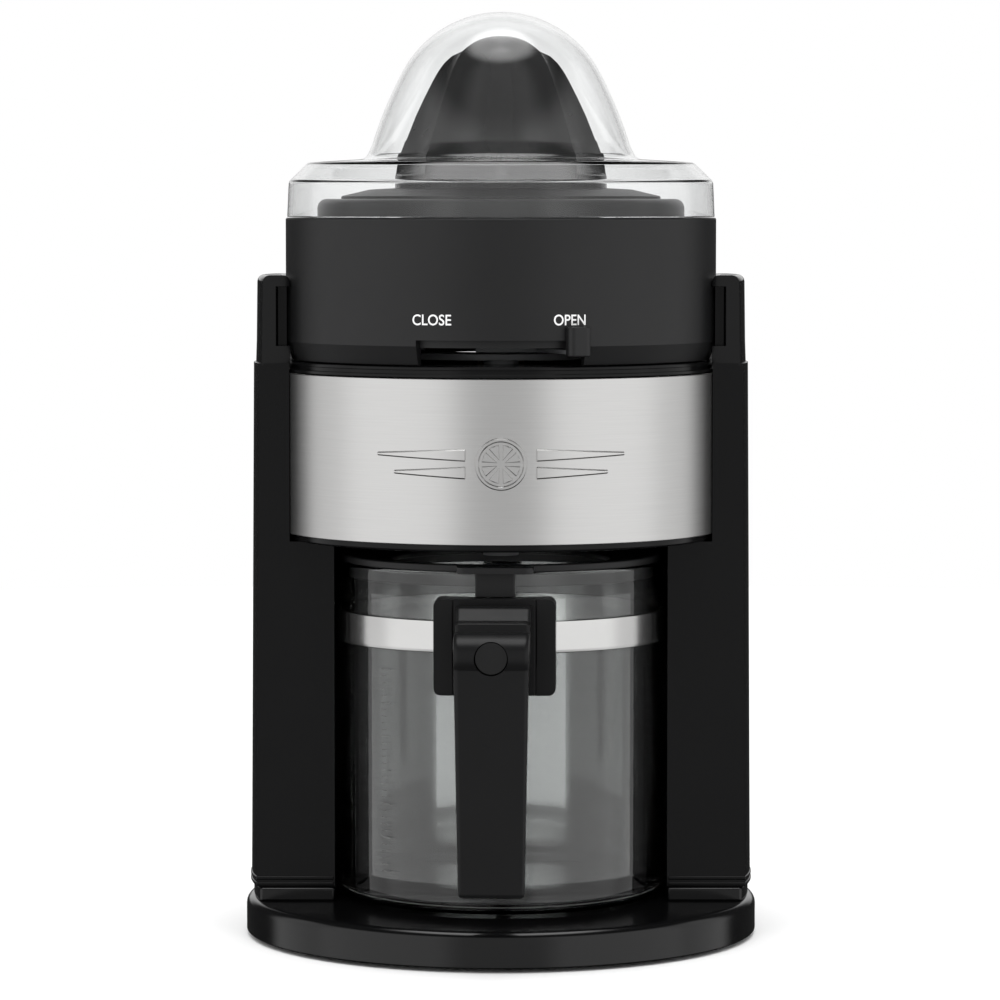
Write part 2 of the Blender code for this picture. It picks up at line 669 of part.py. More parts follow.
# ---------------------------------------------------------------- bowl and its outlet
def make_bowl(finishes, juicer):
    black = finishes["satin_black"]
    bowl_axis = pivot("bowl_axis", 0, 0, parent=juicer)
    floor_top = BOWL_FLOOR_Z + BOWL_FLOOR
    low_outer = BOWL_RADIUS - BOWL_CHAMFER
    skirt_inner = low_outer - 2.5
    ledge_z = BOWL_RIM - LEDGE_DEPTH
    profile = [(CHIMNEY_BORE, BOWL_FLOOR_Z), (skirt_inner, BOWL_FLOOR_Z), (skirt_inner, BOWL_Z),
               (low_outer, BOWL_Z), (BOWL_RADIUS, BOWL_Z + BOWL_CHAMFER_HEIGHT), (BOWL_RADIUS, BOWL_RIM),
               (LEDGE_RADIUS, BOWL_RIM), (LEDGE_RADIUS, ledge_z), (BOWL_INSIDE, ledge_z),
               (BOWL_INSIDE, floor_top + 4), (BOWL_INSIDE - 4, floor_top), (CHIMNEY_RADIUS, floor_top),
               (CHIMNEY_RADIUS, BASKET_Z - GAP), (CHIMNEY_BORE, BASKET_Z - GAP)]
    bowl = turned("juice_bowl", profile, black, bowl_axis)
    rib_z = SHOULDER_Z + 5

    def side_ribs(work):
        for side in (-1, 1):
            add_box(work, *sorted((side * (BOWL_RADIUS - 1), side * (BOWL_RADIUS + 1.8))), -1.5, 1.5,
                    rib_z, rib_z + 24)

    unite(bowl, new_object("rib_tool", side_ribs, black, bowl_axis))
    notch_top = BOWL_Z + 9.2
    ends = (-SLOT_HALF_ANGLE, SLOT_HALF_ANGLE, 12)
    cut(bowl, prism("notch_tool", sector(low_outer - 1.2, BOWL_RADIUS + 4, *ends),
                    BOWL_Z - 2, notch_top, black, bowl_axis))
    cut(bowl, prism("skirt_tool", sector(skirt_inner - 2, low_outer - 0.5, *ends),
                    BOWL_Z - 1, BOWL_FLOOR_Z - 0.05, black, bowl_axis))
    cut(bowl, rod("outlet_tool", SPOUT_BORE, BOWL_FLOOR_Z - 2, floor_top + 2, black, bowl_axis, y=SPOUT_Y))
    make_outlet(finishes, bowl_axis)


def make_outlet(finishes, bowl_axis):
    """The plate under the bowl with the long spout, and the shutter that turns above it."""
    black = finishes["satin_black"]
    out = -SPOUT_Y
    plate_top = SHUTTER_Z - 0.5
    reach = SPOUT_RADIUS + 3.5
    spout = prism("spout_tube", sector(out - reach, out + reach, -67, 67, 20), OUTLET_PLATE_Z, plate_top,
                  finishes["grey_plastic"], bowl_axis)
    bosses = new_object("plate_boss_tool", lambda work: add_rods(
        work, [from_front(out, -60), from_front(out, 60)], 4.0, plate_top - 1, BOWL_FLOOR_Z - GAP),
        black, bowl_axis)
    unite(spout, bosses)
    spout_low = GLASS_TOP + GAP + LID_THICK + 1.5
    unite(spout, rod("tube_tool", SPOUT_RADIUS, spout_low, plate_top - 0.8, black, bowl_axis, y=SPOUT_Y))
    cut(spout, rod("tube_bore_tool", SPOUT_BORE, spout_low - 2, plate_top + 2, black, bowl_axis, y=SPOUT_Y))

    lever_axis = pivot("lever_axis", 0, 0, parent=bowl_axis)
    throw = 2 * LEVER_ANGLE
    hole_clear = 9.0
    shutter = prism("shutter_plate", sector(out - SPOUT_BORE - 2.5, out + SPOUT_BORE + 2.5,
                                            -hole_clear - 3, throw + hole_clear, 12),
                    SHUTTER_Z, SHUTTER_Z + SHUTTER_THICK, finishes["grey_plastic"], lever_axis)
    half_arm = math.degrees(2.5 / LEVER_REACH)
    arm = [from_front(out + 2, LEVER_ANGLE - 3), from_front(LEVER_REACH, LEVER_ANGLE - half_arm),
           from_front(LEVER_REACH, LEVER_ANGLE + half_arm), from_front(out + 2, LEVER_ANGLE + 3)]
    unite(shutter, prism("arm_tool", arm, SHUTTER_Z + 0.2, SHUTTER_Z + SHUTTER_THICK - 0.2, black, lever_axis))
    cut(shutter, rod("shutter_hole_tool", SPOUT_BORE, SHUTTER_Z - 2, SHUTTER_Z + 5, black, lever_axis,
                     y=SPOUT_Y))
    half_knob = math.degrees(KNOB_WIDTH / 2 / LEVER_REACH)
    near = LEVER_REACH + GAP
    knob = sector(near, near + KNOB_DEPTH, LEVER_ANGLE - half_knob, LEVER_ANGLE + half_knob, 4)
    prism("lever_knob", knob, SHUTTER_Z - 0.4, SHUTTER_Z - 0.4 + KNOB_HEIGHT, black, lever_axis)


# ---------------------------------------------------------------- basket, sweeper, reamer, cover
def make_basket(finishes, juicer):
    basket_axis = pivot("basket_axis", 0, 0, parent=juicer)
    lip_z = BOWL_RIM - LEDGE_DEPTH + GAP
    lip_outer = LEDGE_RADIUS - 0.4
    low = BASKET_RADIUS - BASKET_TAPER
    profile = [(COLLAR_BORE, BASKET_Z), (low, BASKET_Z), (BASKET_RADIUS - 0.6, lip_z), (lip_outer, lip_z),
               (lip_outer, lip_z + 1.4), (BASKET_RADIUS, lip_z + 1.4), (BASKET_RADIUS, BASKET_RIM - 1.5),
               (BASKET_RADIUS - 1, BASKET_RIM), (BASKET_RADIUS - BASKET_WALL, BASKET_RIM),
               (low - BASKET_WALL, BASKET_FLOOR), (COLLAR_RADIUS, BASKET_FLOOR), (COLLAR_RADIUS, COLLAR_TOP),
               (COLLAR_BORE, COLLAR_TOP)]
    basket = turned("pulp_basket", profile, finishes["dark_grey"], basket_axis)

    def slots(work):
        for k in range(BASKET_SLOTS):
            start = len(work.verts)
            add_box(work, 18, low - 7, -1.3, 1.3, BASKET_Z - 1, BASKET_FLOOR + 1)
            work.verts.ensure_lookup_table()
            bmesh.ops.rotate(work, verts=work.verts[start:], cent=(0, 0, 0),
                             matrix=Matrix.Rotation(2 * math.pi * (k + 0.5) / BASKET_SLOTS, 3, "Z"))

    cut(basket, new_object("slot_tool", slots, finishes["dark_grey"], basket_axis))


def make_sweeper(finishes, juicer):
    black = finishes["satin_black"]
    sweeper_axis = pivot("sweeper_axis", 0, 0, parent=juicer)
    outer = SWEEPER_BORE + SWEEPER_WALL
    reach = REAMER_RADIUS + SWEEPER_REACH
    edge_z = SWEEPER_TOP - 3.0
    profile = [(SWEEPER_BORE, SWEEPER_Z), (outer, SWEEPER_Z), (outer, SWEEPER_TOP - 1.8),
               (reach, edge_z - 1.3), (reach, edge_z), (outer, SWEEPER_TOP), (SWEEPER_BORE, SWEEPER_TOP)]
    sweeper = turned("pulp_sweeper", profile, black, sweeper_axis)
    hub_bore = SOCKET_RADIUS + SHAFT_FIT
    spoke_top = SWEEPER_Z + 2.4

    def spokes(work):
        for k in range(3):
            start = len(work.verts)
            add_box(work, hub_bore + 0.6, SWEEPER_BORE + 1, -3, 3, SWEEPER_Z + 0.1, spoke_top)
            work.verts.ensure_lookup_table()
            bmesh.ops.rotate(work, verts=work.verts[start:], cent=(0, 0, 0),
                             matrix=Matrix.Rotation(2 * math.pi * k / 3, 3, "Z"))

    unite(sweeper, new_object("spoke_tool", spokes, black, sweeper_axis))
    unite(sweeper, turned("hub_tool", [(hub_bore, SWEEPER_Z - 4), (hub_bore + 2.4, SWEEPER_Z - 4),
                                       (hub_bore + 2.4, spoke_top - 0.1), (hub_bore, spoke_top - 0.1)],
                          black, sweeper_axis, SMALL_ROUND))
    blade_low = BASKET_FLOOR + 2.5
    unite(sweeper, new_object("blade_tool", lambda work: add_box(
        work, hub_bore + 4, BASKET_RADIUS - BASKET_TAPER - 5.5, -1.2, 1.2, blade_low, SWEEPER_Z + 1), black,
        sweeper_axis))


def reamer_outline(radius, depth):
    """One ring of the ribbed cone: ridges every 45 degrees with round valleys between."""
    steps = RIB_COUNT * 4
    points = []
    for k in range(steps):
        angle = 2 * math.pi * k / steps
        valley = abs(math.sin(RIB_COUNT * angle / 2))
        size = radius * (1 - depth * valley)
        points.append((size * math.cos(angle), size * math.sin(angle)))
    return points


def make_reamer(finishes, juicer):
    black = finishes["satin_black"]
    reamer_axis = pivot("reamer_axis", 0, 0, parent=juicer)
    band_low = REAMER_Z - REAMER_SKIRT
    flat_z = REAMER_Z + 0.5
    # share of the height over the band, share of the radius, rib depth
    rings = [(0.11, 0.97, 0.6), (0.28, 0.885, 1), (0.44, 0.80, 1), (0.56, 0.725, 1), (0.68, 0.64, 1),
             (0.79, 0.53, 1), (0.87, 0.42, 1), (0.94, 0.27, 0.8)]
    height = APEX_Z - flat_z
    levels = [(band_low, reamer_outline(REAMER_RADIUS, 0)), (flat_z, reamer_outline(REAMER_RADIUS, 0))]
    levels += [(flat_z + height * up, reamer_outline(REAMER_RADIUS * size, RIB_DEPTH * depth))
               for up, size, depth in rings]
    levels.append((APEX_Z, reamer_outline(2.5, 0)))
    reamer = loft("reamer_cone", levels, black, reamer_axis)
    cavity_top = flat_z + height * 0.62
    cavity = [(0, band_low - 2), (REAMER_RADIUS - 3, band_low - 2), (REAMER_RADIUS - 3, flat_z - 4),
              (REAMER_RADIUS * 0.7, flat_z + height * 0.2), (REAMER_RADIUS * 0.36, cavity_top),
              (0, cavity_top)]
    cut(reamer, turned("cavity_tool", cavity, black, reamer_axis))
    unite(reamer, rod("socket_tool", SOCKET_RADIUS, SOCKET_Z, cavity_top + 3, black, reamer_axis))
    cut(reamer, rod("socket_bore_tool", SHAFT_RADIUS + SHAFT_FIT, SOCKET_Z - 2, SHAFT_TOP + GAP, black,
                    reamer_axis))


def cover_profile():
    """Outside of the dust cover, from the apex down to its lower edge."""
    dome = walk((0, COVER_TOP), 0, [(DOME_RADIUS, DOME_TURN)], 6)
    dome += walk(dome[-1], DOME_TURN, [(DOME_SIDE_RADIUS, DOME_SIDE_TURN)], 2)[1:]
    edge_r, edge_z = dome[-1]
    low = BOWL_RIM + GAP
    shoulder_z = low + 20.3
    skirt_z = shoulder_z + (edge_z - shoulder_z) * 0.2
    return dome + [(edge_r + 2.5, skirt_z), (COVER_RADIUS - 7.9, shoulder_z),
                   (COVER_RADIUS - 0.6, low + 13.2), (COVER_RADIUS, low)]


def make_cover(finishes, juicer):
    cover_axis = pivot("cover_axis", 0, 0, parent=juicer)
    outside = cover_profile()
    inside = inset(outside, COVER_WALL)
    low = outside[-1][1]
    inside[0] = (0, COVER_TOP - COVER_WALL)
    inside[-1] = (COVER_RADIUS - COVER_WALL, low)
    turned("dust_cover", outside + list(reversed(inside)), finishes["clear"], cover_axis)


# ---------------------------------------------------------------- carafe
def make_carafe(finishes, juicer):
    carafe = pivot("carafe_axis", 0, CARAFE_Y, parent=juicer, turn=CARAFE_TURN)
    corner = [(GLASS_RADIUS - GLASS_CORNER * (1 - math.sin(math.radians(a))),
               GLASS_Z + GLASS_CORNER * (1 - math.cos(math.radians(a)))) for a in (0, 30, 60, 90)]
    inner = GLASS_RADIUS - GLASS_WALL
    floor = GLASS_Z + GLASS_FLOOR
    profile = [(0, GLASS_Z)] + corner + [(GLASS_RADIUS, GLASS_TOP), (inner, GLASS_TOP),
                                         (inner, floor + 5), (inner - 5, floor), (0, floor)]
    turned("carafe_glass", profile, finishes["clear"], carafe)

    clamp_inner = GLASS_RADIUS + GAP
    clamp_outer = clamp_inner + CARAFE_BAND_THICK
    band_z = GLASS_Z + CARAFE_BAND_LOW
    turned("carafe_band", [(clamp_inner, band_z), (clamp_outer, band_z),
                           (clamp_outer, band_z + CARAFE_BAND_HEIGHT),
                           (clamp_inner, band_z + CARAFE_BAND_HEIGHT)], finishes["polished_steel"], carafe)
    make_handle(finishes, carafe, clamp_outer)
    make_lid(finishes, carafe, inner)


def make_handle(finishes, carafe, clamp_outer):
    black = finishes["matte_black"]
    low = GLASS_Z + BRACKET_LOW
    high = low + BRACKET_HEIGHT
    front = -(GLASS_RADIUS + BRACKET_DEPTH)
    bracket = new_object("handle_bracket", lambda work: add_box(
        work, -BRACKET_HALF, BRACKET_HALF, front, front + 16, low, high), black, carafe, False)
    cut(bracket, rod("clamp_tool", clamp_outer + GAP, low - 2, high + 2, black, carafe, steps=ROUND))

    reach = -GRIP_FRONT
    back = front - GAP
    centre_y = reach + BULGE_RADIUS
    centre_z = high - 18
    bulge = []
    for degrees in range(90, 211, 20):
        angle = math.radians(degrees)
        bulge.append((centre_y + BULGE_RADIUS * math.cos(angle), centre_z + BULGE_RADIUS * math.sin(angle)))
    strap_front = bulge[-1][0]
    strap_back = strap_front + GRIP_THICK
    grip_low = GLASS_Z + GRIP_LOW
    outline = [(back, high - 2), (back - 9, high - 2), (back - 14, high - 7)] + bulge + [
        (strap_front, grip_low + 1.5), (strap_front + 2, grip_low), (strap_back - 1, grip_low),
        (strap_back, grip_low + 3), (strap_back, centre_z - 16), (strap_back + 7, centre_z - 7),
        (back, centre_z - 7)]

    def strap(work):
        rings = []
        for side in (-1, 1):
            ring = []
            for y, z in outline:
                share = max(0.0, min(1.0, (z - grip_low) / (high - grip_low)))
                half = GRIP_HALF_LOW + (GRIP_HALF_TOP - GRIP_HALF_LOW) * share
                ring.append(work.verts.new((side * half, y, z)))
            rings.append(ring)
        count = len(outline)
        for k in range(count):
            work.faces.new((rings[0][k], rings[0][(k + 1) % count], rings[1][(k + 1) % count], rings[1][k]))
        work.faces.new(rings[0])
        work.faces.new(list(reversed(rings[1])))

    grip = new_object("handle_grip", strap, black, carafe)
    cap_place = ((0, (reach + 3.0) * MM, centre_z * MM), math.radians(90))
    socket = rod("cap_socket_tool", 6.2, 0, 6, black, carafe)
    socket.location, socket.rotation_euler[0] = cap_place
    cut(grip, socket)
    cap = rod("grip_cap", 5.9, GAP, 2.8, black, carafe)
    cap.location, cap.rotation_euler[0] = cap_place


def make_lid(finishes, carafe, glass_inner):
    top = LID_Z + LID_THICK
    plug = glass_inner - 0.4
    profile = [(LID_OPENING, LID_Z - 1.5), (plug - 2.2, LID_Z - 0.3), (plug - 2.2, LID_Z - 5.5),
               (plug, LID_Z - 5.5), (plug, LID_Z), (GLASS_RADIUS - 0.2, LID_Z),
               (GLASS_RADIUS - 0.2, top - 0.6), (GLASS_RADIUS - 0.8, top), (GLASS_RADIUS - 2.5, top),
               (LID_OPENING, LID_Z + 0.4)]
    lid = turned("carafe_lid", profile, finishes["satin_black"], carafe)
    tab_front = -(GLASS_RADIUS + 10)
    black = finishes["satin_black"]
    unite(lid, new_object("tab_tool", lambda work: add_box(
        work, -14, 14, tab_front, -GLASS_RADIUS + 4, LID_Z + 0.2, top - 0.4), black, carafe))
    bracket_top = GLASS_Z + BRACKET_LOW + BRACKET_HEIGHT
    unite(lid, new_object("neck_tool", lambda work: add_box(
        work, -7.3, 7.3, -GLASS_RADIUS - 5, -GLASS_RADIUS - 1.2, bracket_top + GAP, LID_Z + 1),
        black, carafe))


# ---------------------------------------------------------------- the whole juicer
def make_finishes():
    return {
        "gloss_black": material("gloss_black", (0.012, 0.012, 0.013), 0.12),
        "satin_black": material("satin_black", (0.022, 0.022, 0.023), 0.42),
        "matte_black": material("matte_black", (0.02, 0.02, 0.021), 0.6),
        "dark_grey": material("dark_grey", (0.05, 0.05, 0.052), 0.45),
        "grey_plastic": material("grey_plastic", (0.3, 0.31, 0.32), 0.5),
        "white_plastic": material("white_plastic", (0.8, 0.8, 0.78), 0.45),
        "rubber": material("rubber", (0.03, 0.03, 0.03), 0.85),
        "brushed_steel": material("brushed_steel", (0.62, 0.61, 0.6), 0.32, 1.0),
        "polished_steel": material("polished_steel", (0.72, 0.72, 0.73), 0.12, 1.0),
        "steel": material("steel", (0.55, 0.55, 0.56), 0.35, 1.0),
        "brass": material("brass", (0.6, 0.42, 0.18), 0.35, 1.0),
        "clear": material("clear", (0.9, 0.92, 0.93), 0.05),
    }


def main():
    clear_scene()
    finishes = make_finishes()
    juicer = pivot("juicer_axis", 0, AXIS_Y)
    make_base(finishes, juicer)
    for side in (-1, 1):
        make_pillar(side, finishes, juicer)
    make_rear(finishes, juicer)
    make_motor_housing(finishes, juicer)
    make_gearbox(finishes, juicer)
    make_drive(finishes, juicer)
    make_bowl(finishes, juicer)
    make_basket(finishes, juicer)
    make_sweeper(finishes, juicer)
    make_reamer(finishes, juicer)
    make_cover(finishes, juicer)
    make_carafe(finishes, juicer)


main()
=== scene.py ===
"""Citrus press juicer: fine surfaces, finishes and studio around the fixed frame of its CAD model.

Laid out as an add-on. Lengths are in metres; MM turns millimetres into them. Pieces take their
places from the frame's boxes. Angles about the main axis are measured from the front (-Y) and
grow towards +X.
"""
import math

import bmesh
import bpy
from bpy.props import FloatProperty, FloatVectorProperty, IntProperty, PointerProperty
from bpy.types import Operator, Panel, PropertyGroup
from mathutils import Matrix, Vector


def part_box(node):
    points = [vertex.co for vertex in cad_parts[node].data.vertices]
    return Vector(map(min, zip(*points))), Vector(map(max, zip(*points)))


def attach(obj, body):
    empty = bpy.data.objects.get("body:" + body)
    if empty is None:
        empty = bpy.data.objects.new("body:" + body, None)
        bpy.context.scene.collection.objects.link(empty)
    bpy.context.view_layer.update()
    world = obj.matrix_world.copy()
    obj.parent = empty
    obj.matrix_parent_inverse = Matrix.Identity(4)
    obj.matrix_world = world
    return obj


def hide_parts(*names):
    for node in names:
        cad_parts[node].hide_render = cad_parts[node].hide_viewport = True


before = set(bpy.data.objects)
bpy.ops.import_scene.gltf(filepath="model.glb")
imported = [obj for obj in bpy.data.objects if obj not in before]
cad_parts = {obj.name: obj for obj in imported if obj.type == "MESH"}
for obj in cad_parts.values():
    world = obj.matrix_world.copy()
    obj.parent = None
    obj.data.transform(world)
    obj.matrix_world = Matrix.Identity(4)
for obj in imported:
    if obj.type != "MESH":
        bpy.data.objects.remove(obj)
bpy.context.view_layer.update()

bl_info = {
    "name": "Citrus press juicer",
    "version": (1, 0, 0),
    "blender": (4, 5, 0),
    "location": "View3D > Sidebar > Juicer",
    "description": "Builds the visible surfaces and finishes of a citrus press juicer",
    "category": "Add Mesh",
}

MM = 0.001
AXIS = (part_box("motor_deck")[0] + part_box("motor_deck")[1]) / 2
CARAFE_AXIS = (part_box("carafe_glass")[0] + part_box("carafe_glass")[1]) / 2


# ---------------------------------------------------------------- what a user may change
class JuicerSizes(PropertyGroup):
    round_steps: IntProperty(name="Round steps", description="Steps around a large circle",
                             default=192, min=32)
    small_steps: IntProperty(name="Small steps", description="Steps around a small circle",
                             default=64, min=16)
    edge: FloatProperty(name="Edge round", description="Radius of a moulded edge",
                        default=0.6 * MM, unit="LENGTH")
    letter_height: FloatProperty(name="Letter height", description="Height of the lever's lettering",
                                 default=3.9 * MM, unit="LENGTH")
    emblem_radius: FloatProperty(name="Emblem radius", description="Radius of the fruit slice on the band",
                                 default=9.5 * MM, unit="LENGTH")
    camera_distance: FloatProperty(name="Camera distance", description="From the main axis to the camera",
                                   default=1.662, unit="LENGTH")
    camera_height: FloatProperty(name="Camera height", description="Over the table",
                                 default=0.277, unit="LENGTH")
    camera_lens: FloatProperty(name="Lens", description="Focal length on a 36 mm sensor, in mm",
                               default=158.7)
    camera_side: FloatProperty(name="Camera side", description="To the left of the main axis",
                               default=0.35 * MM, unit="LENGTH")
    camera_pitch: FloatProperty(name="Camera pitch", description="Downward tilt of the camera",
                                default=math.radians(3.9), subtype="ANGLE", unit="ROTATION")


class JuicerColours(PropertyGroup):
    gloss_black: FloatVectorProperty(name="Gloss black", description="Column and motor housing",
                                     default=(0.0032, 0.0032, 0.0034), subtype="COLOR", min=0, max=1)
    satin_black: FloatVectorProperty(name="Satin black", description="Bowl, base and reamer",
                                     default=(0.008, 0.008, 0.0084), subtype="COLOR", min=0, max=1)
    matte_black: FloatVectorProperty(name="Matt black", description="Carafe handle",
                                     default=(0.006, 0.006, 0.0063), subtype="COLOR", min=0, max=1)
    dark_grey: FloatVectorProperty(name="Dark grey", description="Pulp basket",
                                   default=(0.02, 0.02, 0.021), subtype="COLOR", min=0, max=1)
    steel: FloatVectorProperty(name="Steel", description="Brushed and polished steel",
                               default=(0.6, 0.597, 0.59), subtype="COLOR", min=0, max=1)
    brass: FloatVectorProperty(name="Brass", description="Shaft bushes",
                               default=(0.6, 0.42, 0.18), subtype="COLOR", min=0, max=1)
    ink: FloatVectorProperty(name="Ink", description="Printed lettering",
                             default=(0.85, 0.85, 0.85), subtype="COLOR", min=0, max=1)


def sizes():
    return bpy.context.scene.juicer_sizes


def colours():
    return bpy.context.scene.juicer_colours


# ---------------------------------------------------------------- shader maths
class Signal:
    """A number that varies over a surface; Python's operators add its Math nodes."""

    def __init__(self, net, socket):
        self.net = net
        self.socket = socket

    def math(self, operation, *values):
        inputs = dict(enumerate(values))
        return self.net.node("ShaderNodeMath", {"operation": operation}, inputs)

    def __add__(self, other):
        return self.math("ADD", self, other)

    def __sub__(self, other):
        return self.math("SUBTRACT", self, other)

    def __rsub__(self, other):
        return self.math("SUBTRACT", other, self)

    def __mul__(self, other):
        return self.math("MULTIPLY", self, other)

    __radd__ = __add__
    __rmul__ = __mul__

    def between(self, low, high):
        """0 up to low, 1 from high, smooth in between."""
        return self.net.node("ShaderNodeMapRange", {"interpolation_type": "SMOOTHSTEP"},
                             {"Value": self, "From Min": low, "From Max": high})


class Net:
    """A node tree: every node comes from one method."""

    def __init__(self, tree):
        self.tree = tree

    def node(self, kind, settings=None, inputs=None, output=0):
        made = self.tree.nodes.new(kind)
        for name, value in (settings or {}).items():
            setattr(made, name, value)
        for name, value in (inputs or {}).items():
            self.feed(made.inputs[name], value)
        return Signal(self, made.outputs[output])

    def feed(self, socket, value):
        if isinstance(value, Signal):
            self.tree.links.new(value.socket, socket)
        else:
            socket.default_value = value

    def place(self):
        return self.node("ShaderNodeTexCoord", output="Object")

    def stretched(self, vector, scale):
        return self.node("ShaderNodeVectorMath", {"operation": "MULTIPLY"}, {0: vector, 1: scale})

    def noise(self, scale, detail=2.0, vector=None, roughness=0.5):
        return self.node("ShaderNodeTexNoise", None, {"Vector": vector or self.place(), "Scale": scale,
                                                      "Detail": detail, "Roughness": roughness})

    def parts(self, vector):
        split = self.tree.nodes.new("ShaderNodeSeparateXYZ")
        self.feed(split.inputs[0], vector)
        return [Signal(self, socket) for socket in split.outputs]

    def joined(self, x, y, z):
        return self.node("ShaderNodeCombineXYZ", None, {0: x, 1: y, 2: z})

    def mixed(self, share, first, second):
        """A colour between two colours."""
        made = self.tree.nodes.new("ShaderNodeMix")
        made.data_type = "RGBA"
        for socket, value in zip((made.inputs["Factor"], made.inputs[6], made.inputs[7]),
                                 (share, first, second)):
            self.feed(socket, value)
        return Signal(self, made.outputs[2])

    def around(self, centre, radius):
        """Distance along the circumference, height and radius, for grain that follows a turned piece."""
        x, y, z = self.parts(self.place())
        across = x - centre.x
        depth = centre.y - y
        angle = across.math("ARCTAN2", across, depth)
        return self.joined(angle * radius, z, 0.0)


FINISH = "_finish"


class Finish(Net):
    """A material with one Principled shader."""

    def __init__(self, name, colour, roughness, constants=None):
        self.material = bpy.data.materials.new(name + FINISH)
        self.material.use_nodes = True
        super().__init__(self.material.node_tree)
        self.shader = self.tree.nodes["Principled BSDF"]
        self.colour = (*colour, 1.0)
        self.vary("Base Color", self.colour)
        self.vary("Roughness", roughness)
        for socket, value in (constants or {}).items():
            self.vary(socket, value)

    def vary(self, socket, value):
        self.feed(self.shader.inputs[socket], value)

    def bump(self, height, strength, distance=0.1 * MM):
        self.vary("Normal", self.node("ShaderNodeBump", None, {"Strength": strength, "Distance": distance,
                                                               "Height": height}))

    def shades(self, share, darker=0.8, lighter=1.2):
        """Base colour that drifts a little around its own value."""
        low = (*[c * darker for c in self.colour[:3]], 1.0)
        high = (*[min(c * lighter, 1) for c in self.colour[:3]], 1.0)
        self.vary("Base Color", self.mixed(share, low, high))


def moulded(name, colour, roughness, grain, depth, spread=0.06, gloss=0.5):
    """Injection moulded plastic: slow colour drift, uneven sheen and a fine spark-eroded grain."""
    finish = Finish(name, colour, roughness, {"IOR": 1.5, "Specular IOR Level": gloss})
    cloud = finish.noise(28.0, 3.0)
    finish.shades(cloud)
    handling = finish.noise(190.0, 4.0)
    finish.vary("Roughness", roughness - spread / 2 + spread * handling)
    finish.bump(finish.noise(grain, 2.0) + 0.3 * finish.noise(grain / 4, 1.0), depth)


def brushed(name, colour, centre, radius):
    """Steel strip brushed around the housing: long fine lines, uneven gloss."""
    finish = Finish(name, colour, 0.3, {"Metallic": 1.0})
    wrap = finish.around(centre, radius)
    fine = finish.noise(1.0, 3.0, finish.stretched(wrap, (60.0, 9000.0, 1.0)), 0.7)
    coarse = finish.noise(1.0, 2.0, finish.stretched(wrap, (25.0, 1500.0, 1.0)), 0.6)
    lines = 0.6 * fine + 0.4 * coarse
    finish.shades(lines, 0.82, 1.12)
    finish.vary("Roughness", 0.24 + 0.16 * lines)
    finish.bump(lines, 0.16, 0.05 * MM)


def polished(name, colour, roughness=0.1):
    finish = Finish(name, colour, roughness, {"Metallic": 1.0})
    wear = finish.noise(420.0, 5.0, None, 0.65)
    finish.shades(finish.noise(35.0, 2.0), 0.93, 1.04)
    finish.vary("Roughness", roughness * 0.7 + roughness * 0.7 * wear)


def turned_metal(name, colour, roughness):
    """Machined metal with fine tool marks around the part."""
    finish = Finish(name, colour, roughness, {"Metallic": 1.0})
    marks = finish.noise(1.0, 3.0, finish.stretched(finish.place(), (300.0, 300.0, 6000.0)), 0.6)
    finish.shades(marks, 0.8, 1.1)
    finish.vary("Roughness", roughness - 0.08 + 0.16 * marks)
    finish.bump(marks, 0.15, 0.04 * MM)


def clear(name, tint, roughness, ior, gloss):
    """Clear wall with the faintest haze and wave of a moulded or blown surface."""
    constants = {"Transmission Weight": 1.0, "IOR": ior, "Specular IOR Level": gloss}
    finish = Finish(name, tint, roughness, constants)
    haze = finish.noise(150.0, 4.0)
    finish.vary("Roughness", roughness * 0.6 + roughness * haze)
    finish.bump(finish.noise(22.0, 1.0), 0.008, 0.3 * MM)


def rubbery(name):
    finish = Finish(name, (0.018, 0.018, 0.018), 0.85)
    finish.shades(finish.noise(400.0, 3.0), 0.7, 1.4)
    finish.bump(finish.noise(2600.0, 2.0), 0.35)


def lining(name, colour):
    """High gloss black wall behind the carafe, which mirrors the light more than the column does."""
    finish = Finish(name, colour, 0.12, {"IOR": 2.5})
    finish.shades(finish.noise(28.0, 3.0))
    finish.vary("Roughness", 0.09 + 0.05 * finish.noise(150.0, 3.0))
    finish.bump(finish.noise(9.0, 1.0), 0.05, 0.5 * MM)


def make_finishes():
    tint = colours()
    moulded("gloss_black", tint.gloss_black, 0.13, 700.0, 0.006, 0.05, 0.17)
    moulded("satin_black", tint.satin_black, 0.42, 2400.0, 0.05, 0.06, 0.33)
    moulded("matte_black", tint.matte_black, 0.34, 2400.0, 0.05, 0.08, 0.18)
    moulded("base_black", tint.gloss_black, 0.16, 1800.0, 0.02, 0.06, 0.35)
    moulded("reamer_black", tint.satin_black, 0.26, 1800.0, 0.02, 0.06, 0.22)
    moulded("dark_grey", tint.dark_grey, 0.36, 2400.0, 0.04, 0.06, 0.25)
    moulded("grey_plastic", (0.16, 0.165, 0.17), 0.45, 2000.0, 0.15)
    moulded("white_plastic", (0.75, 0.75, 0.72), 0.4, 1800.0, 0.1)
    lining("bay_black", tint.gloss_black)
    rubbery("rubber")
    brushed("brushed_steel", tint.steel, AXIS, Sides("steel_band").half)
    polished("polished_steel", tint.steel, 0.2)
    turned_metal("steel", (0.55, 0.55, 0.56), 0.34)
    turned_metal("brass", tint.brass, 0.3)
    clear("clear_plastic", (0.985, 0.99, 0.99), 0.004, 1.49, 0.5)
    clear("clear_glass", (0.97, 0.985, 0.98), 0.004, 1.5, 0.5)
    moulded("ink", tint.ink, 0.5, 3000.0, 0.1)
    moulded("mark_ink", (0.12, 0.12, 0.12), 0.5, 3000.0, 0.1)


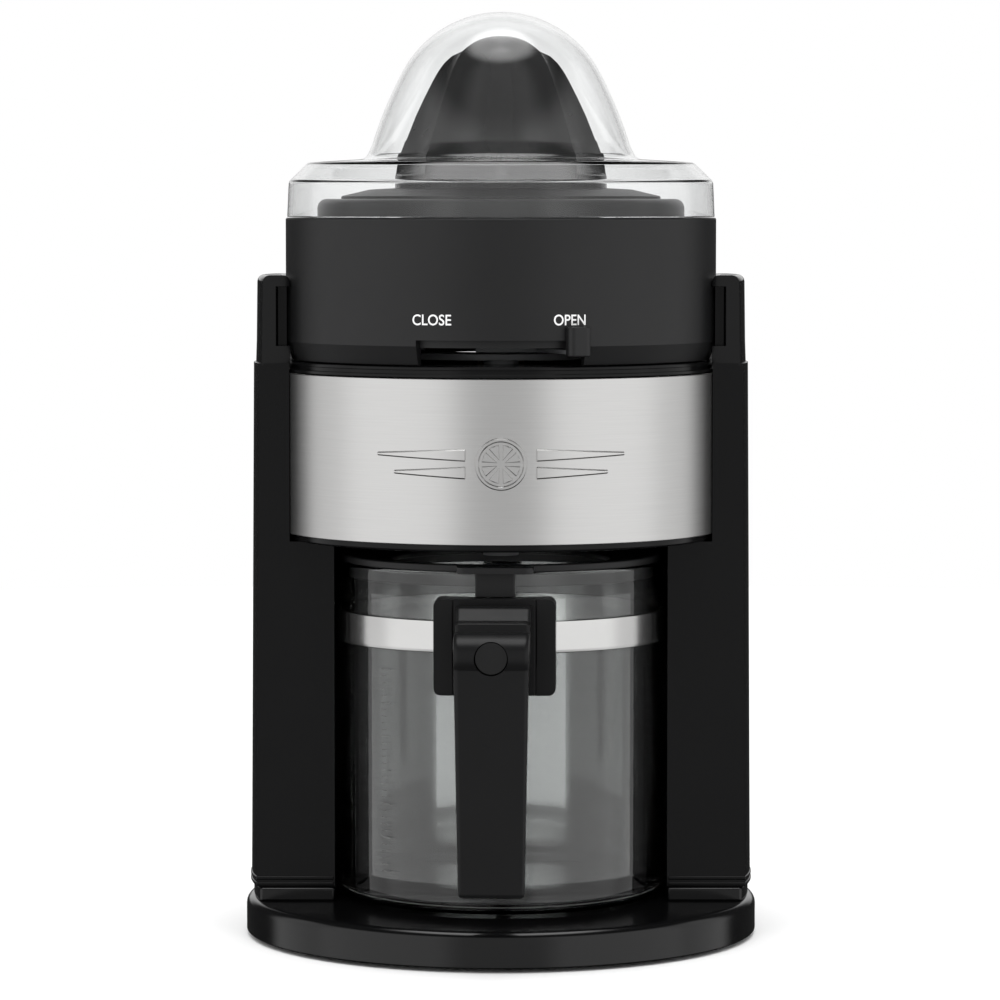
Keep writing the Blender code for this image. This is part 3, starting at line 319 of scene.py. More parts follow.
# ---------------------------------------------------------------- outlines
def softened(corners, closed=True, steps=6):
    """Round an outline's corners: each corner is (a, b) or (a, b, radius)."""
    points = []
    for k, corner in enumerate(corners):
        here = Vector(corner[:2])
        ends = not closed and k in (0, len(corners) - 1)
        if len(corner) < 3 or not corner[2] or ends:
            points.append(here)
            continue
        back = Vector(corners[k - 1][:2]) - here
        on = Vector(corners[(k + 1) % len(corners)][:2]) - here
        half = back.angle(on) / 2
        reach = min(corner[2] / math.tan(half), 0.49 * back.length, 0.49 * on.length)
        back.normalize()
        on.normalize()
        centre = here + (back + on).normalized() * (reach / math.cos(half))
        spoke = here + back * reach - centre
        sweep = spoke.angle_signed(here + on * reach - centre)
        for step in range(steps + 1):
            points.append(centre + Matrix.Rotation(-sweep * step / steps, 2) @ spoke)
    return [(p.x, p.y) for p in points]


def from_front(radius, degrees, centre=AXIS):
    angle = math.radians(degrees)
    return centre.x + radius * math.sin(angle), centre.y - radius * math.cos(angle)


def arc(radius, first, last, steps, centre=AXIS):
    return [from_front(radius, first + (last - first) * k / steps, centre) for k in range(steps + 1)]


def sector(inner, outer, first, last, steps, centre=AXIS):
    return arc(outer, first, last, steps, centre) + arc(inner, last, first, steps, centre)


def angle_at(radius, y):
    """Angle from the front at which a circle about the main axis reaches the plane y."""
    return math.degrees(math.acos((AXIS.y - y) / radius))


def box_outline(x0, x1, y0, y1, radius=0.0):
    return softened([(x0, y0, radius), (x1, y0, radius), (x1, y1, radius), (x0, y1, radius)])


class Sides:
    """A node's box: its bottom, top, half width and the numbers that pieces line up with."""

    def __init__(self, node):
        self.low, self.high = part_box(node)
        self.bottom = self.low.z
        self.top = self.high.z
        self.half = (self.high.x - self.low.x) / 2
        self.front = self.low.y
        self.back = self.high.y
        self.centre = (self.low + self.high) / 2


# ---------------------------------------------------------------- shaping
class Shape:
    """Closed bodies gathered in one mesh, which then becomes a piece."""

    def __init__(self):
        self.work = bmesh.new()

    def ring(self, points):
        return [self.work.verts.new(point) for point in points]

    def bridge(self, low, high):
        """Faces between two rings; a ring of one point is a pole."""
        count = max(len(low), len(high))
        for k in range(count):
            corners = [low[k % len(low)], low[(k + 1) % len(low)],
                       high[(k + 1) % len(high)], high[k % len(high)]]
            unique = list(dict.fromkeys(corners))
            if len(unique) > 2:
                self.work.faces.new(unique)

    def turned(self, outline, centre=AXIS, steps=None):
        steps = steps or sizes().round_steps
        rings = []
        for radius, z in outline:
            if radius < 1e-7:
                rings.append(self.ring([(centre.x, centre.y, z)]))
            else:
                rings.append(self.ring([(centre.x + radius * math.cos(2 * math.pi * k / steps),
                                         centre.y + radius * math.sin(2 * math.pi * k / steps), z)
                                        for k in range(steps)]))
        for low, high in zip(rings, rings[1:]):
            self.bridge(low, high)
        if outline[0][0] > 1e-7:
            self.bridge(rings[-1], rings[0])
        return self

    def loft(self, levels):
        """Outlines of (x, y) points at rising heights, with flat ends."""
        rings = [self.ring([(x, y, z) for x, y in outline]) for z, outline in levels]
        for low, high in zip(rings, rings[1:]):
            self.bridge(low, high)
        self.work.faces.new(rings[0])
        self.work.faces.new(list(reversed(rings[-1])))
        return self

    def prism(self, outline, bottom, top):
        return self.loft([(bottom, outline), (top, outline)])

    def rod(self, radius, bottom, top, x=AXIS.x, y=AXIS.y, steps=None):
        return self.turned([(0, bottom), (radius, bottom), (radius, top), (0, top)], Vector((x, y, 0)),
                           steps or sizes().small_steps)

    def strip(self, outlines):
        """Like loft, for outlines of whole (x, y, z) points."""
        rings = [self.ring(outline) for outline in outlines]
        for low, high in zip(rings, rings[1:]):
            self.bridge(low, high)
        self.work.faces.new(rings[0])
        self.work.faces.new(list(reversed(rings[-1])))
        return self

    def turn(self, matrix, start=0):
        self.work.verts.ensure_lookup_table()
        bmesh.ops.transform(self.work, matrix=matrix, verts=self.work.verts[start:])
        return self

    def mesh(self, name):
        bmesh.ops.recalc_face_normals(self.work, faces=self.work.faces)
        mesh = bpy.data.meshes.new(name)
        self.work.to_mesh(mesh)
        self.work.free()
        return mesh


def new_piece(name, mesh, sharp=30):
    mesh.shade_smooth()
    mesh.set_sharp_from_angle(angle=math.radians(sharp))
    piece = bpy.data.objects.new(name, mesh)
    bpy.context.scene.collection.objects.link(piece)
    return piece


def bevelled(piece, width=None, segments=3, angle=38):
    step = piece.modifiers.new("edges", "BEVEL")
    step.width = width or sizes().edge
    step.segments = segments
    step.limit_method = "ANGLE"
    step.angle_limit = math.radians(angle)
    step.harden_normals = True
    return piece


def settled(piece, sharp=30):
    """Keep the piece's evaluated mesh and drop its modifiers."""
    graph = bpy.context.evaluated_depsgraph_get()
    mesh = bpy.data.meshes.new_from_object(piece.evaluated_get(graph))
    old = piece.data
    piece.modifiers.clear()
    piece.data = mesh
    mesh.name = old.name
    bpy.data.meshes.remove(old)
    mesh.shade_smooth()
    mesh.set_sharp_from_angle(angle=math.radians(sharp))
    return piece


def carved(piece, shape, operation="DIFFERENCE"):
    tool = new_piece("tool", shape.mesh("tool"))
    step = piece.modifiers.new("cut", "BOOLEAN")
    step.operation = operation
    step.solver = "EXACT"
    step.object = tool
    settled(piece)
    bpy.data.objects.remove(tool, do_unlink=True)
    return piece


def outfit(piece, finish, body, *nodes, slot=None):
    """Finish, body and the CAD nodes that the piece stands for."""
    piece.data.materials.clear()
    piece.data.materials.append(bpy.data.materials[finish + FINISH])
    flat = piece.modifiers.new("normals", "WEIGHTED_NORMAL")
    flat.keep_sharp = True
    flat.weight = 90
    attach(piece, body)
    if nodes:
        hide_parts(*nodes)
    return piece


# ---------------------------------------------------------------- base and column
COLUMN_BACK = Sides("rear_cover")
COLUMN_RADIUS = COLUMN_BACK.back - AXIS.y
SHOULDER = COLUMN_BACK.top
COLUMN_FOOT = COLUMN_BACK.bottom
COLUMN_TAPER = 1.5 * MM
SHELL_WALL = 2.5 * MM
BAY_HALF = Sides("rear_wall").half - SHELL_WALL
PILLAR_FRONT = Sides("left_pillar").front
PILLAR_SPLIT = Sides("left_pillar").back
HOUSING = Sides("motor_shell")
BAND_RADIUS = AXIS.y - Sides("steel_band").front
MOTOR_SEAT = BAND_RADIUS + 0.3 * MM
WELL_HOLE = 8.6 * MM


def column_radius(z):
    return COLUMN_RADIUS - COLUMN_TAPER * (z - COLUMN_FOOT) / (SHOULDER - COLUMN_FOOT)


def bay_outline(half, front, steps=72):
    return [(half, front)] + arc(half, 90, 270, steps, CARAFE_AXIS) + [(-half, front)]


def make_base_tray():
    tray = Sides("base_tray")
    top = Sides("carafe_glass").bottom - 0.5 * MM
    under = top - 2.8 * MM
    inside = tray.half - SHELL_WALL
    seat = Sides("carafe_glass").half + 1.4 * MM
    outline = softened([(0, top), (tray.half, top, 3.6 * MM), (tray.half, tray.bottom, 0.6 * MM),
                        (inside, tray.bottom, 0.3 * MM), (inside, under, 1.0 * MM), (0, under)], False)
    piece = new_piece("base_body", Shape().turned(outline).mesh("base_body"))
    carved(piece, Shape().turned([(0, top - 0.4 * MM), (seat, top - 0.4 * MM), (seat + 0.4 * MM, top + MM),
                                  (0, top + MM)], CARAFE_AXIS))
    outfit(piece, "base_black", "housing", "base_tray", slot="satin_black")

    foot = COLUMN_RADIUS - 0.9 * MM
    front = PILLAR_FRONT - 2.0 * MM
    first = angle_at(foot, front)
    outline = arc(foot, first, 360 - first, 144) + list(reversed(bay_outline(BAY_HALF, front)))
    shape = Shape().prism(outline, top - 0.2 * MM, tray.top)
    plinth = new_piece("column_plinth", shape.mesh("column_plinth"))
    bevelled(plinth, 0.9 * MM, 4)
    outfit(plinth, "base_black", "housing", slot="satin_black")


def make_base_underside():
    plate = Sides("base_plate")
    shape = Shape().turned(softened([(0, plate.bottom), (plate.half, plate.bottom, 0.5 * MM),
                                     (plate.half, plate.top), (0, plate.top)], False))
    piece = new_piece("base_floor", shape.mesh("base_floor"))
    wells = Shape()
    for k in range(4):
        spot = Sides(f"foot_{k + 1}").centre
        wells.rod(8.4 * MM, -MM, 3.4 * MM, spot.x, spot.y)
        spot = Sides(f"base_screw_{k + 1}").centre
        wells.rod(4.0 * MM, -MM, 3.9 * MM, spot.x, spot.y)
    carved(piece, wells)
    ribs = Shape()
    for radius in (22 * MM, 40 * MM, 58 * MM):
        ribs.turned([(radius, plate.bottom - 0.3 * MM), (radius + 1.2 * MM, plate.bottom - 0.3 * MM),
                     (radius + 1.2 * MM, plate.bottom + 0.5 * MM), (radius, plate.bottom + 0.5 * MM)])
    carved(piece, ribs, "UNION")
    outfit(piece, "satin_black", "housing", "base_plate")
    for k in range(4):
        foot = Sides(f"foot_{k + 1}")
        outline = softened([(0, 0.5 * MM), (5.2 * MM, 0.5 * MM, 0.4 * MM), (5.8 * MM, 0, 0.4 * MM),
                            (foot.half, 0, 0.8 * MM), (foot.half, foot.top, 0.3 * MM), (0, foot.top)], False)
        shape = Shape().turned(outline, foot.centre, 48)
        outfit(new_piece(f"foot_pad_{k + 1}", shape.mesh("foot_pad")), "rubber", "housing", f"foot_{k + 1}")
        make_screw(f"base_screw_{k + 1}")


def make_screw(node):
    spot = Sides(node)
    head = spot.bottom
    outline = softened([(0, head), (spot.half, head, 0.7 * MM), (spot.half, head + 1.9 * MM, 0.2 * MM),
                        (1.5 * MM, head + 1.9 * MM), (1.5 * MM, spot.top - 1.5 * MM), (0, spot.top)], False)
    piece = new_piece(node + "_body", Shape().turned(outline, spot.centre, 32).mesh(node))
    cross = []
    for quarter in range(4):
        turn = Matrix.Rotation(math.radians(90 * quarter), 2)
        cross += [turn @ Vector(point) for point in ((2.2 * MM, -0.35 * MM), (2.2 * MM, 0.35 * MM),
                                                     (0.35 * MM, 0.35 * MM))]
    slot = [(spot.centre.x + point.x, spot.centre.y + point.y) for point in cross]
    carved(piece, Shape().prism(slot, head - MM, head + 1.1 * MM))
    outfit(piece, "steel", "housing", node)


def pillar_outline(side, z, inset, inner, front, back):
    radius = column_radius(z) - inset
    points = arc(radius, angle_at(radius, front), angle_at(radius, back), 40)
    return [(side * x, y) for x, y in points + [(inner, back), (inner, front)]]


def make_pillar(side, node):
    foot = COLUMN_FOOT
    block = Shape().loft([(z, pillar_outline(side, z, 0, BAY_HALF, PILLAR_FRONT, PILLAR_SPLIT))
                          for z in (foot, SHOULDER)])
    piece = new_piece(node + "_shell", block.mesh(node + "_shell"))
    carved(piece, Shape().rod(MOTOR_SEAT, HOUSING.bottom - 0.3 * MM, SHOULDER + MM, steps=256))
    top = HOUSING.bottom + 2 * MM
    front = PILLAR_FRONT + SHELL_WALL
    back = PILLAR_SPLIT + MM
    carved(piece, Shape().loft([(z, pillar_outline(side, z, SHELL_WALL, BAY_HALF - MM, front, back))
                                for z in (foot - MM, top)]))
    bevelled(piece, 0.9 * MM, 4)
    outfit(settled(piece, 40), "gloss_black", "housing", node)
    make_ear(side, node)
    make_foot_lip(side, node)


def make_pillars():
    make_pillar(-1, "left_pillar")
    make_pillar(1, "right_pillar")


def make_foot_lip(side, node):
    """The raised lip around the pillar's foot, on its front and outer faces."""
    depth = 1.2 * MM
    height = 1.4 * MM
    radius = column_radius(COLUMN_FOOT) + 0.35 * MM
    inside = radius - depth
    front = PILLAR_FRONT - 0.45 * MM
    end = BAY_HALF + 0.4 * MM
    outline = arc(radius, angle_at(radius, front), 90, 24)
    outline += arc(inside, 90, angle_at(inside, front + depth), 24)
    outline += [(end, front + depth), (end, front)]
    for k, z in enumerate((COLUMN_FOOT + 0.2 * MM, COLUMN_FOOT + 2.4 * MM)):
        shape = Shape().prism([(side * x, y) for x, y in outline], z, z + height)
        lip = bevelled(new_piece(f"{node}_lip_{k + 1}", shape.mesh("lip")), 0.5 * MM, 4)
        outfit(lip, "gloss_black", "housing")


def make_ear(side, node):
    """The upright that holds the bowl: rounded top, and a recess beside the bowl."""
    box = Sides(node)
    top = box.top
    outer = column_radius(SHOULDER) - 1.4 * MM
    inner = BAND_RADIUS - 0.7 * MM
    half = math.degrees(math.asin(24 * MM / outer))
    levels = []
    for z, shrink in ((SHOULDER - MM, -0.6 * MM), (SHOULDER + 8 * MM, -0.3 * MM), (top - 2.5 * MM, 0.0)):
        levels.append((z, inner, outer - shrink))
    for degrees in (25, 50, 70, 90):
        angle = math.radians(degrees)
        drop = 2.5 * MM * (1 - math.cos(angle))
        rise = 2.5 * MM * math.sin(angle)
        levels.append((top - 2.5 * MM + rise, inner + drop, outer - drop))
    shape = Shape().loft([(z, [(side * x, y) for x, y in sector(low, high, 90 - half, 90 + half, 32)])
                          for z, low, high in levels])
    piece = new_piece(node + "_ear", shape.mesh(node + "_ear"))
    low_x, high_x = sorted((side * (inner - 6 * MM), side * (inner + 2.3 * MM)))
    front = AXIS.y - 30 * MM
    recess = Shape().prism(box_outline(low_x, high_x, front, AXIS.y - 15 * MM, 0.6 * MM),
                           SHOULDER + 6.5 * MM, top - 4.2 * MM)
    rib = Sides("juice_bowl").half + 0.4 * MM
    recess.prism(box_outline(*sorted((side * (inner - MM), side * rib)), AXIS.y - 2 * MM, AXIS.y + 2 * MM),
                 SHOULDER + 3 * MM, top + MM)
    carved(piece, recess)
    bevelled(piece, 0.5 * MM, 3)
    outfit(settled(piece, 40), "gloss_black", "housing")


def make_rear():
    back = Sides("rear_wall")
    front = back.front
    outline = bay_outline(back.half, front) + list(reversed(bay_outline(BAY_HALF, front)))
    wall = new_piece("bay_liner", Shape().prism(outline, back.bottom, back.top).mesh("bay_liner"))
    outfit(bevelled(wall, 0.4 * MM), "bay_black", "housing", "rear_wall", slot="gloss_black")

    split = COLUMN_BACK.front

    def section(z, inset, inner, over):
        radius = column_radius(z) - inset
        first = angle_at(radius, split - over)
        second = angle_at(inner, split - over)
        return arc(radius, first, 360 - first, 120) + arc(inner, 360 - second, second, 120)

    cover = new_piece("rear_shell", Shape().loft([(z, section(z, 0, MOTOR_SEAT, 0)) for z in
                                                  (COLUMN_FOOT, SHOULDER)]).mesh("rear_shell"))
    carved(cover, Shape().loft([(z, section(z, SHELL_WALL, MOTOR_SEAT - 2 * MM, 4 * MM))
                                for z in (COLUMN_FOOT - MM, SHOULDER - SHELL_WALL)]))
    gland = Sides("cord_grommet")
    hole = Shape().rod(6.0 * MM, -8 * MM, 8 * MM, 0, 0)
    place = Matrix.Translation((0, COLUMN_RADIUS + AXIS.y, gland.centre.z))
    hole.turn(place @ Matrix.Rotation(math.pi / 2, 4, "X"))
    carved(cover, hole)
    vents = Shape()
    for k in range(7):
        z = SHOULDER - (22 + 5 * k) * MM
        vents.prism(sector(COLUMN_RADIUS - 1.9 * MM, COLUMN_RADIUS + 4 * MM, 160, 200, 40), z, z + 2.2 * MM)
    carved(cover, vents)
    bevelled(cover, 0.5 * MM, 3)
    outfit(settled(cover, 40), "gloss_black", "housing", "rear_cover")

    outline = softened([(3.6 * MM, 0, 0.3 * MM), (5.6 * MM, 0, 0.3 * MM), (5.7 * MM, 5.8 * MM),
                        (8.0 * MM, 5.8 * MM, 0.4 * MM), (7.0 * MM, 6.8 * MM, 0.4 * MM),
                        (3.6 * MM, 6.8 * MM, 0.5 * MM)])
    shape = Shape().turned(outline, Vector((0, 0, 0)), 64)
    shape.turn(Matrix.Translation((0, gland.front, gland.centre.z)) @ Matrix.Rotation(-math.pi / 2, 4, "X"))
    outfit(new_piece("cord_gland", shape.mesh("cord_gland")), "rubber", "housing", "cord_grommet")


# ---------------------------------------------------------------- motor housing
def make_motor_shell():
    inside = HOUSING.half - 2.4 * MM
    floor = HOUSING.bottom + 2.3 * MM
    outline = softened([(0, HOUSING.bottom), (HOUSING.half, HOUSING.bottom, 0.9 * MM),
                        (HOUSING.half, HOUSING.top), (inside, HOUSING.top), (inside, floor, 1.0 * MM),
                        (0, floor)], False)
    piece = new_piece("housing_shell", Shape().turned(outline).mesh("housing_shell"))
    well = Sides("spout_well").centre
    carved(piece, Shape().rod(WELL_HOLE, HOUSING.bottom - MM, floor + MM, well.x, well.y))
    outfit(piece, "gloss_black", "housing", "motor_shell")

    back = BAY_HALF - 4.0 * MM
    lip = Shape()
    for radius in (back, back - 7 * MM, 24 * MM):
        inner = radius - 0.8 * MM
        lip.turned(softened([(inner, HOUSING.bottom + 0.5 * MM), (inner, HOUSING.bottom, 0.2 * MM),
                             (radius, HOUSING.bottom, 0.2 * MM), (radius, HOUSING.bottom + 0.5 * MM)]),
                   Vector((AXIS.x, AXIS.y + 2 * MM, 0)))
    outfit(new_piece("housing_ribs", lip.mesh("housing_ribs")), "gloss_black", "housing")


def make_deck():
    deck = Sides("motor_deck")
    bore = Sides("shaft_bush_upper").half
    step = (deck.top - deck.bottom) / 3
    ledge = deck.half - 1.3 * MM
    outline = softened([(bore, deck.bottom), (deck.half, deck.bottom, 0.3 * MM),
                        (deck.half, deck.bottom + step, 0.3 * MM), (ledge, deck.bottom + step),
                        (ledge, deck.bottom + 2 * step),
                        (deck.half - 0.5 * MM, deck.bottom + 2 * step, 0.3 * MM),
                        (deck.half - 0.9 * MM, deck.top, 0.4 * MM), (bore, deck.top, 0.3 * MM)])
    piece = new_piece("deck_body", Shape().turned(outline).mesh("deck_body"))
    well = Sides("spout_well").centre
    carved(piece, Shape().rod(WELL_HOLE, deck.bottom - MM, deck.top + MM, well.x, well.y))
    outfit(piece, "gloss_black", "housing", "motor_deck")


# ---------------------------------------------------------------- steel band and its emblem
def wrapped(piece, radius, z):
    """Bend a flat piece drawn in x and y, with its height in z, around the main axis at that radius."""
    for vertex in piece.data.vertices:
        across, up, out = vertex.co
        angle = across / radius
        reach = radius + out
        vertex.co = (AXIS.x + reach * math.sin(angle), AXIS.y - reach * math.cos(angle), z + up)
    return piece


def flat_shape(outline, height, sink=0.3 * MM):
    """A raised pad: walls that lean in, under a flat top."""
    middle = Vector((sum(x for x, y in outline), sum(y for x, y in outline))) / len(outline)
    top = []
    for x, y in outline:
        inward = (middle - Vector((x, y))).normalized() * 0.4 * MM
        top.append((x + inward.x, y + inward.y))
    return [(-sink, outline), (0, outline), (height, top)]


def emblem_shape():
    """A fruit slice, an open rim around eight wedges, between two tapered bars."""
    radius = sizes().emblem_radius
    height = 0.6 * MM
    sink = -0.3 * MM
    rim = 1.6 * MM
    bar_steps = 24
    origin = Vector((0, 0, 0))
    shape = Shape()
    shape.turned([(radius - rim, sink), (radius, sink), (radius, 0), (radius - 0.4 * MM, height),
                  (radius - rim + 0.4 * MM, height), (radius - rim, 0)], origin, 96)
    inner = 1.4 * MM
    outer = radius - rim - 0.9 * MM
    for k in range(8):
        middle = 45 * k + 22.5
        half = 16.5
        wedge = [from_front(outer, middle - half + 2 * half * j / 8, origin) for j in range(9)]
        wedge.append(from_front(inner, middle, origin))
        shape.loft(flat_shape(wedge, height))
    for side in (-1, 1):
        for level, near, far in ((3.2 * MM, 13 * MM, 47 * MM), (-3.2 * MM, 13 * MM, 40 * MM)):
            sections = []
            for k in range(bar_steps + 1):
                half = 2.3 * MM * (1 - 0.7 * k / bar_steps)
                top = half - 0.5 * MM
                sections.append((side * (near + (far - near) * k / bar_steps), [
                    (level - half, sink), (level + half, sink), (level + half, 0),
                    (level + top, height), (level - top, height), (level - half, 0)]))
            start = len(shape.work.verts)
            shape.loft(sections if side > 0 else list(reversed(sections)))
            # drawn standing up: lay it down so that it runs along x and stands out in z
            shape.turn(Matrix(((0, 0, 1, 0), (1, 0, 0, 0), (0, 1, 0, 0), (0, 0, 0, 1))), start)
    return shape


def make_band():
    band = Sides("steel_band")
    half = math.degrees(math.asin(band.half / BAND_RADIUS))
    inner = BAND_RADIUS - 1.6 * MM
    lip = 0.5 * MM
    levels = []
    for z, inset in ((band.bottom, lip), (band.bottom + 0.35 * lip, 0.3 * lip), (band.bottom + lip, 0),
                     (band.top - lip, 0), (band.top - 0.35 * lip, 0.3 * lip), (band.top, lip)):
        levels.append((z, sector(inner, BAND_RADIUS - inset, -half, half, 150)))
    piece = new_piece("band_sheet", Shape().loft(levels).mesh("band_sheet"))
    outfit(piece, "brushed_steel", "housing", "steel_band")
    emblem = new_piece("band_emblem", emblem_shape().mesh("band_emblem"), 50)
    wrapped(emblem, BAND_RADIUS, (band.bottom + band.top) / 2 - 0.5 * MM)
    outfit(emblem, "brushed_steel", "housing")


# ---------------------------------------------------------------- bowl, lever and outlet
BOWL_RADIUS = Sides("dust_cover").half + 0.6 * MM
NOTCH_HALF = 22.3


def make_bowl():
    bowl = Sides("juice_bowl")
    rim = bowl.top
    floor = bowl.bottom + 6.5 * MM
    low = BOWL_RADIUS - 2.3 * MM
    inside = BOWL_RADIUS - 3.9 * MM
    chimney = Sides("pulp_basket").bottom - 0.3 * MM
    outline = softened([
        (8.5 * MM, floor), (low - 2.5 * MM, floor, 0.5 * MM), (low - 2.5 * MM, bowl.bottom, 0.4 * MM),
        (low, bowl.bottom, 0.5 * MM), (BOWL_RADIUS, bowl.bottom + 7 * MM, 0.5 * MM),
        (BOWL_RADIUS, rim, 0.7 * MM), (low, rim, 0.4 * MM), (low, rim - 1.8 * MM),
        (inside, rim - 1.8 * MM, 0.4 * MM), (inside, floor + 2.5 * MM, 6 * MM),
        (11 * MM, floor + 2.5 * MM, 3 * MM), (11 * MM, chimney, 0.5 * MM),
        (8.5 * MM, chimney, 0.5 * MM)])
    piece = new_piece("bowl_body", Shape().turned(outline, steps=256).mesh("bowl_body"))
    cut = Shape().prism(sector(low - 5.5 * MM, BOWL_RADIUS + 4 * MM, -NOTCH_HALF, NOTCH_HALF, 48),
                        bowl.bottom - 2 * MM, floor - 0.1 * MM)
    carved(piece, cut)
    slot = Shape().prism(sector(low - 1.2 * MM, BOWL_RADIUS + 4 * MM, -NOTCH_HALF, NOTCH_HALF, 48),
                         bowl.bottom - 2 * MM, bowl.bottom + 9.2 * MM)
    carved(piece, slot)
    outlet = Sides("spout_well").centre
    carved(piece, Shape().rod(5.0 * MM, floor - 2 * MM, floor + 6 * MM, outlet.x, outlet.y))
    ribs = Shape()
    for side in (-1, 1):
        x0, x1 = sorted((side * (BOWL_RADIUS - MM), side * bowl.half))
        ribs.prism(box_outline(x0, x1, AXIS.y - 1.5 * MM, AXIS.y + 1.5 * MM, 0.4 * MM),
                   SHOULDER + 5 * MM, SHOULDER + 29 * MM)
    carved(piece, ribs, "UNION")
    outfit(bevelled(piece, 0.3 * MM, 2, 50), "satin_black", "bowl", "juice_bowl")
    make_letters()


def make_letters():
    """The two words that mark the lever's ends, printed around the bowl."""
    z = Sides("juice_bowl").bottom + 16.6 * MM
    for word, degrees, width in (("CLOSE", -18.0, 14.7 * MM), ("OPEN", 17.9, 12.0 * MM)):
        curve = bpy.data.curves.new(word, "FONT")
        curve.body = word
        curve.align_x = "CENTER"
        curve.align_y = "CENTER"
        curve.extrude = 0.06 * MM
        curve.offset = 0.05 * MM
        curve.size = sizes().letter_height * 1.37
        text = bpy.data.objects.new(word, curve)
        bpy.context.scene.collection.objects.link(text)
        mesh = bpy.data.meshes.new_from_object(text.evaluated_get(bpy.context.evaluated_depsgraph_get()))
        bpy.data.objects.remove(text, do_unlink=True)
        wide = max(v.co.x for v in mesh.vertices) - min(v.co.x for v in mesh.vertices)
        tall = max(v.co.y for v in mesh.vertices) - min(v.co.y for v in mesh.vertices)
        middle = (max(v.co.y for v in mesh.vertices) + min(v.co.y for v in mesh.vertices)) / 2
        shift = math.radians(degrees) * BOWL_RADIUS
        for vertex in mesh.vertices:
            vertex.co.x = vertex.co.x * width / wide + shift
            vertex.co.y = (vertex.co.y - middle) * sizes().letter_height / tall
        piece = wrapped(new_piece("word_" + word.lower(), mesh), BOWL_RADIUS, z)
        outfit(piece, "ink", "bowl", slot="white_plastic")


def make_outlet():
    plate = Sides("spout_tube")
    spot = Sides("spout_well").centre
    out = AXIS.y - spot.y
    top = Sides("shutter_plate").bottom - 0.5 * MM
    low = top - 2.5 * MM
    shape = Shape().prism(sector(out - 10 * MM, out + 10 * MM, -67, 67, 64), low, top)
    piece = settled(bevelled(new_piece("outlet_plate", shape.mesh("outlet_plate")), 0.4 * MM))
    tube = Shape().rod(6.5 * MM, plate.bottom, top - 0.8 * MM, spot.x, spot.y)
    for degrees in (-60, 60):
        x, y = from_front(out, degrees)
        tube.rod(4 * MM, top - MM, plate.top, x, y)
    carved(piece, tube, "UNION")
    carved(piece, Shape().rod(5 * MM, plate.bottom - MM, plate.top + MM, spot.x, spot.y))
    outfit(bevelled(piece, 0.35 * MM, 3, 50), "grey_plastic", "bowl", "spout_tube")


def make_lever():
    knob = Sides("lever_knob")
    plate = Sides("shutter_plate")
    turn = math.degrees(math.atan2(knob.centre.x, AXIS.y - knob.centre.y))
    near = BOWL_RADIUS + 0.4 * MM
    far = near + 4.2 * MM
    half = math.degrees(4.45 * MM / near)
    shape = Shape()
    steps = [(near, half), (far - 1.6 * MM, half * 0.94), (far - 0.6 * MM, half * 0.8), (far, half * 0.55)]
    outline = [from_front(r, turn - h) for r, h in steps]
    outline += [from_front(r, turn + h) for r, h in reversed(steps)]
    shape.prism(outline, knob.bottom, knob.top)
    piece = bevelled(new_piece("knob_body", shape.mesh("knob_body")), 0.7 * MM, 4, 25)
    outfit(piece, "satin_black", "lever", "lever_knob")

    spot = Sides("spout_well").centre
    out = AXIS.y - spot.y
    body = Shape().prism(sector(out - 7.5 * MM, out + 7.5 * MM, -12, 2 * turn + 9, 48),
                         plate.bottom, plate.top)
    piece = new_piece("shutter_body", body.mesh("shutter_body"))
    reach = near - 0.3 * MM
    arm = math.degrees(2.5 * MM / reach)
    arms = Shape().prism([from_front(out + 2 * MM, turn - 3), from_front(reach, turn - arm),
                          from_front(reach, turn + arm), from_front(out + 2 * MM, turn + 3)],
                         plate.bottom + 0.2 * MM, plate.top - 0.2 * MM)
    carved(piece, arms, "UNION")
    carved(piece, Shape().rod(5 * MM, plate.bottom - MM, plate.top + MM, spot.x, spot.y))
    outfit(bevelled(piece, 0.3 * MM, 2, 50), "grey_plastic", "lever", "shutter_plate")


# ---------------------------------------------------------------- basket, sweeper, reamer
def radial_boxes(count, near, far, half, bottom, top, first=0.0, pinch=1.0):
    """Boxes that point away from the main axis, evenly around it."""
    shape = Shape()
    for k in range(count):
        start = len(shape.work.verts)
        shape.prism(box_outline(near, far, -half, half, half * pinch), bottom, top)
        turn = Matrix.Rotation(math.radians(first + 360 * k / count), 4, "Z")
        shape.turn(Matrix.Translation((AXIS.x, AXIS.y, 0)) @ turn, start)
    return shape


